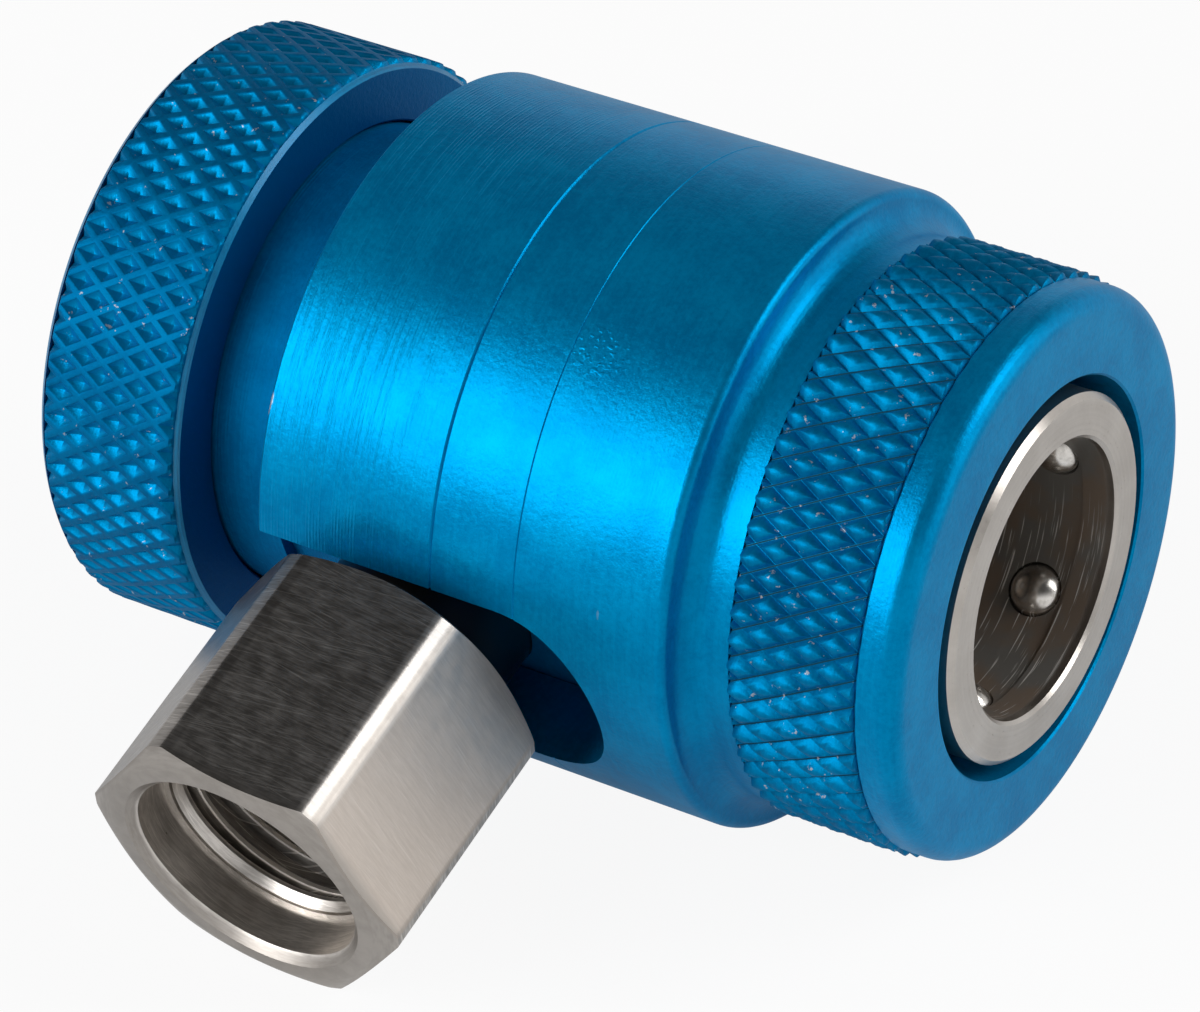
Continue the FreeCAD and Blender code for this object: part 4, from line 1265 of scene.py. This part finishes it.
@dataclass
class Coil:
    """A compression spring at rest. anchor is the station that stays."""

    node: str
    joint: str
    radius: float
    wire: float
    front: float
    back: float
    turns: int
    anchor: float
    travel: float
    steps: int = 48
    sides: int = 14

    def build(self) -> None:
        """Winds the coil, dresses it and gives it its own mesh."""
        pitch = (self.back - self.front - 2.0 * self.wire) / self.turns
        piece = circle(self.node + "_coil", self.sides, self.wire, (self.wire - self.back, 0.0, self.radius),
                       turn=(math.pi / 2, 0.0, 0.0), filled=False)
        wind(piece, "X", pitch, self.turns, self.steps, self.sides)
        lean(piece, TILT)
        shade(piece, sharp=50.0)
        finish = PlainMetal(self.node + "_wire")
        dress(piece, finish.material(), Slot.SPRING, Moving.FIXED, self.node)
        longest = max(abs(self.front - self.anchor), abs(self.back - self.anchor))
        1.0 - self.travel / longest
        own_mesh(piece)


@dataclass
class CarriedOver:
    """The solids that show as they are, each with its finish."""

    looks: Tuple[Tuple[Finish, Tuple[str, ...]], ...] = (
        (BlueAnodised("body_blue", deep=(0.0, 0.12, 0.31, 1.0), bright=(0.0, 0.175, 0.42, 1.0), rough=0.6,
                      metal=0.4), ("main_body",)),
        (TurnedSteel("socket_steel"), ("socket_tube",)),
        (BallSteel("ball_steel"), tuple("locking_ball_%d" % (k + 1) for k in range(6))),
        (PlainMetal("spring_wire"), ("sleeve_stop_ring",)),
        (PlainMetal("small_steel", (0.45, 0.43, 0.41, 1.0), (0.64, 0.62, 0.59, 1.0), rough=0.32),
         ("plunger", "valve_stem", "knob_washer", "knob_screw")),
        (PlainMetal("nut_brass", (0.62, 0.43, 0.17, 1.0), (0.8, 0.6, 0.28, 1.0)), ("bonnet_nut",)),
        (SoftRing("seal_rubber", (0.012, 0.012, 0.013, 1.0), (0.05, 0.05, 0.05, 1.0), rough=0.55),
         ("socket_seal", "tube_o_ring", "bonnet_o_ring", "stem_o_ring", "port_o_ring")),
        (SoftRing("seal_plastic", (0.78, 0.77, 0.73, 1.0), (0.88, 0.87, 0.84, 1.0), rough=0.4),
         ("stem_backup_ring",)),
    )

    def build(self) -> None:
        """Gives each solid its finish."""
        for finish, names in self.looks:
            material = finish.material()
            for name in names:
                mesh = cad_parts[name].data
                mesh.materials.clear()
                mesh.materials.append(material)
            LOG.info("%s on %s", finish.name, ", ".join(names))


@dataclass(frozen=True)
class Lamp:
    """A soft lamp that looks at the object's middle.

    way is the direction to it, distance and size are in metres, and a radiance of 1 is white.
    """

    name: str
    way: Spot
    distance: float
    size: Point
    radiance: float
    middle: Spot = (-0.02, 0.0, 0.0)

    def hang(self) -> None:
        """Hangs the lamp, out of the camera's sight."""
        clear()
        way = Vector(self.way)
        bpy.ops.object.light_add(type="AREA", location=Vector(self.middle) + way.normalized() * self.distance)
        lamp = bpy.context.object
        lamp.name = lamp.data.name = self.name
        lamp.rotation_euler = way.to_track_quat("Z", "Y").to_euler()
        lamp.data.shape = "RECTANGLE"
        lamp.data.size, lamp.data.size_y = self.size
        lamp.data.energy = self.radiance * math.pi * self.size[0] * self.size[1]
        lamp.visible_camera = False


@dataclass
class Studio:
    """Pale floor, soft lamps and a white surround.

    low holds the heights, on the sphere of directions, between which the surround turns white.
    """

    floor_size: float = 6.0
    floor_colour: Colour = (0.8, 0.8, 0.8, 1.0)
    floor_glow: float = 0.92
    floor_gloss: float = 0.32
    surround: float = 0.85
    overhead: float = 0.035
    ambient: float = 0.27
    low: Point = (0.62, 0.12)
    lamps: Tuple[Lamp, ...] = (
        Lamp("main_softbox", (-0.45, -0.78, 0.44), distance=0.6, size=(0.45, 0.38), radiance=4.6),
        Lamp("right_softbox", (0.68, 0.32, 0.62), distance=0.6, size=(0.36, 0.32), radiance=4.2),
        Lamp("right_reflector", (0.90, 0.42, 0.05), distance=0.5, size=(0.4, 0.22), radiance=1.3),
    )

    def floor(self) -> None:
        """Lays the floor, white to the camera and a third white in gloss, under the object's shadow."""
        clear()
        bpy.ops.mesh.primitive_plane_add(size=self.floor_size, location=(0.0, 0.0, FLOOR_Z))
        sheet = keep("studio_floor")
        bpy.ops.mesh.subdivide(number_cuts=3)
        clear()
        mix = Recipe("studio_floor")
        seen = mix.light_path("Is Camera Ray", "Is Transmission Ray")
        seen = seen.most(mix.light_path("Is Glossy Ray") * self.floor_gloss)
        matte = mix.add("ShaderNodeBsdfDiffuse", None, {"Color": self.floor_colour})
        glow = mix.add("ShaderNodeEmission", None, {"Color": WHITE, "Strength": 1.0})
        mix.end(mix.add("ShaderNodeMixShader", None, {0: seen * self.floor_glow, 1: matte, 2: glow}))
        sheet.data.materials.append(mix.material)

    def world(self) -> None:
        """Sets the surround: white to the camera, in gloss white low down and dim overhead."""
        world = bpy.data.worlds.new("studio")
        bpy.context.scene.world = world
        world.use_nodes = True
        mix = Nodes(world.node_tree)
        height = mix.split(mix.add("ShaderNodeTexCoord", out="Generated"))[2]
        camera = mix.light_path("Is Camera Ray", "Is Transmission Ray")
        gloss = mix.light_path("Is Glossy Ray")
        dim = self.overhead + height.step(*self.low) * (self.surround - self.overhead)
        strength = camera + (1.0 - camera) * (gloss * dim + (1.0 - gloss) * self.ambient)
        back = mix.add("ShaderNodeBackground", None, {"Color": WHITE, "Strength": strength})
        mix.end(back, "ShaderNodeOutputWorld")

    def build(self) -> None:
        """Sets the stage."""
        self.floor()
        self.world()
        for lamp in self.lamps:
            lamp.hang()
        bpy.context.scene.view_settings.view_transform = "Standard"


@dataclass
class PhotoCamera:
    """The camera at the photograph's place, in metres, with its three axes."""

    place: Spot = (0.1003, -0.1883, 0.1512)
    right: Spot = (0.8465, 0.5314, -0.0304)
    up: Spot = (-0.2807, 0.4939, 0.8231)
    ahead: Spot = (-0.4523, 0.6882, -0.5672)
    lens: float = 177.19
    sensor: float = 36.0
    clip: Point = (0.01, 20.0)

    def build(self) -> None:
        """Places the camera and makes it the scene's own."""
        clear()
        bpy.ops.object.camera_add()
        camera = bpy.context.object
        camera.name = camera.data.name = "photo_camera"
        axes = Matrix((self.right, self.up, [-part for part in self.ahead])).transposed()
        camera.matrix_world = Matrix.Translation(self.place) @ axes.to_4x4()
        camera.data.sensor_fit = "HORIZONTAL"
        camera.data.sensor_width = self.sensor
        camera.data.lens = self.lens
        camera.data.clip_start, camera.data.clip_end = self.clip
        bpy.context.scene.camera = camera


def main() -> None:
    """Builds the coupler's looks, the stage and the camera."""
    logging.basicConfig(level=logging.INFO, format="%(name)s: %(message)s")
    PhotoCamera().build()
    Sleeve().build()
    Knob().build()
    PortFitting().build()
    Coil("sleeve_spring", "sleeve_slide", radius=9.935, wire=0.4, front=9.02, back=15.98, turns=4,
         anchor=16.0, travel=2.4).build()
    Coil("plunger_spring", "plunger_slide", radius=2.75, wire=0.25, front=13.52, back=18.98, turns=5,
         anchor=13.5, travel=2.25).build()
    CarriedOver().build()
    Studio().build()


if __name__ == "__main__":
    main()
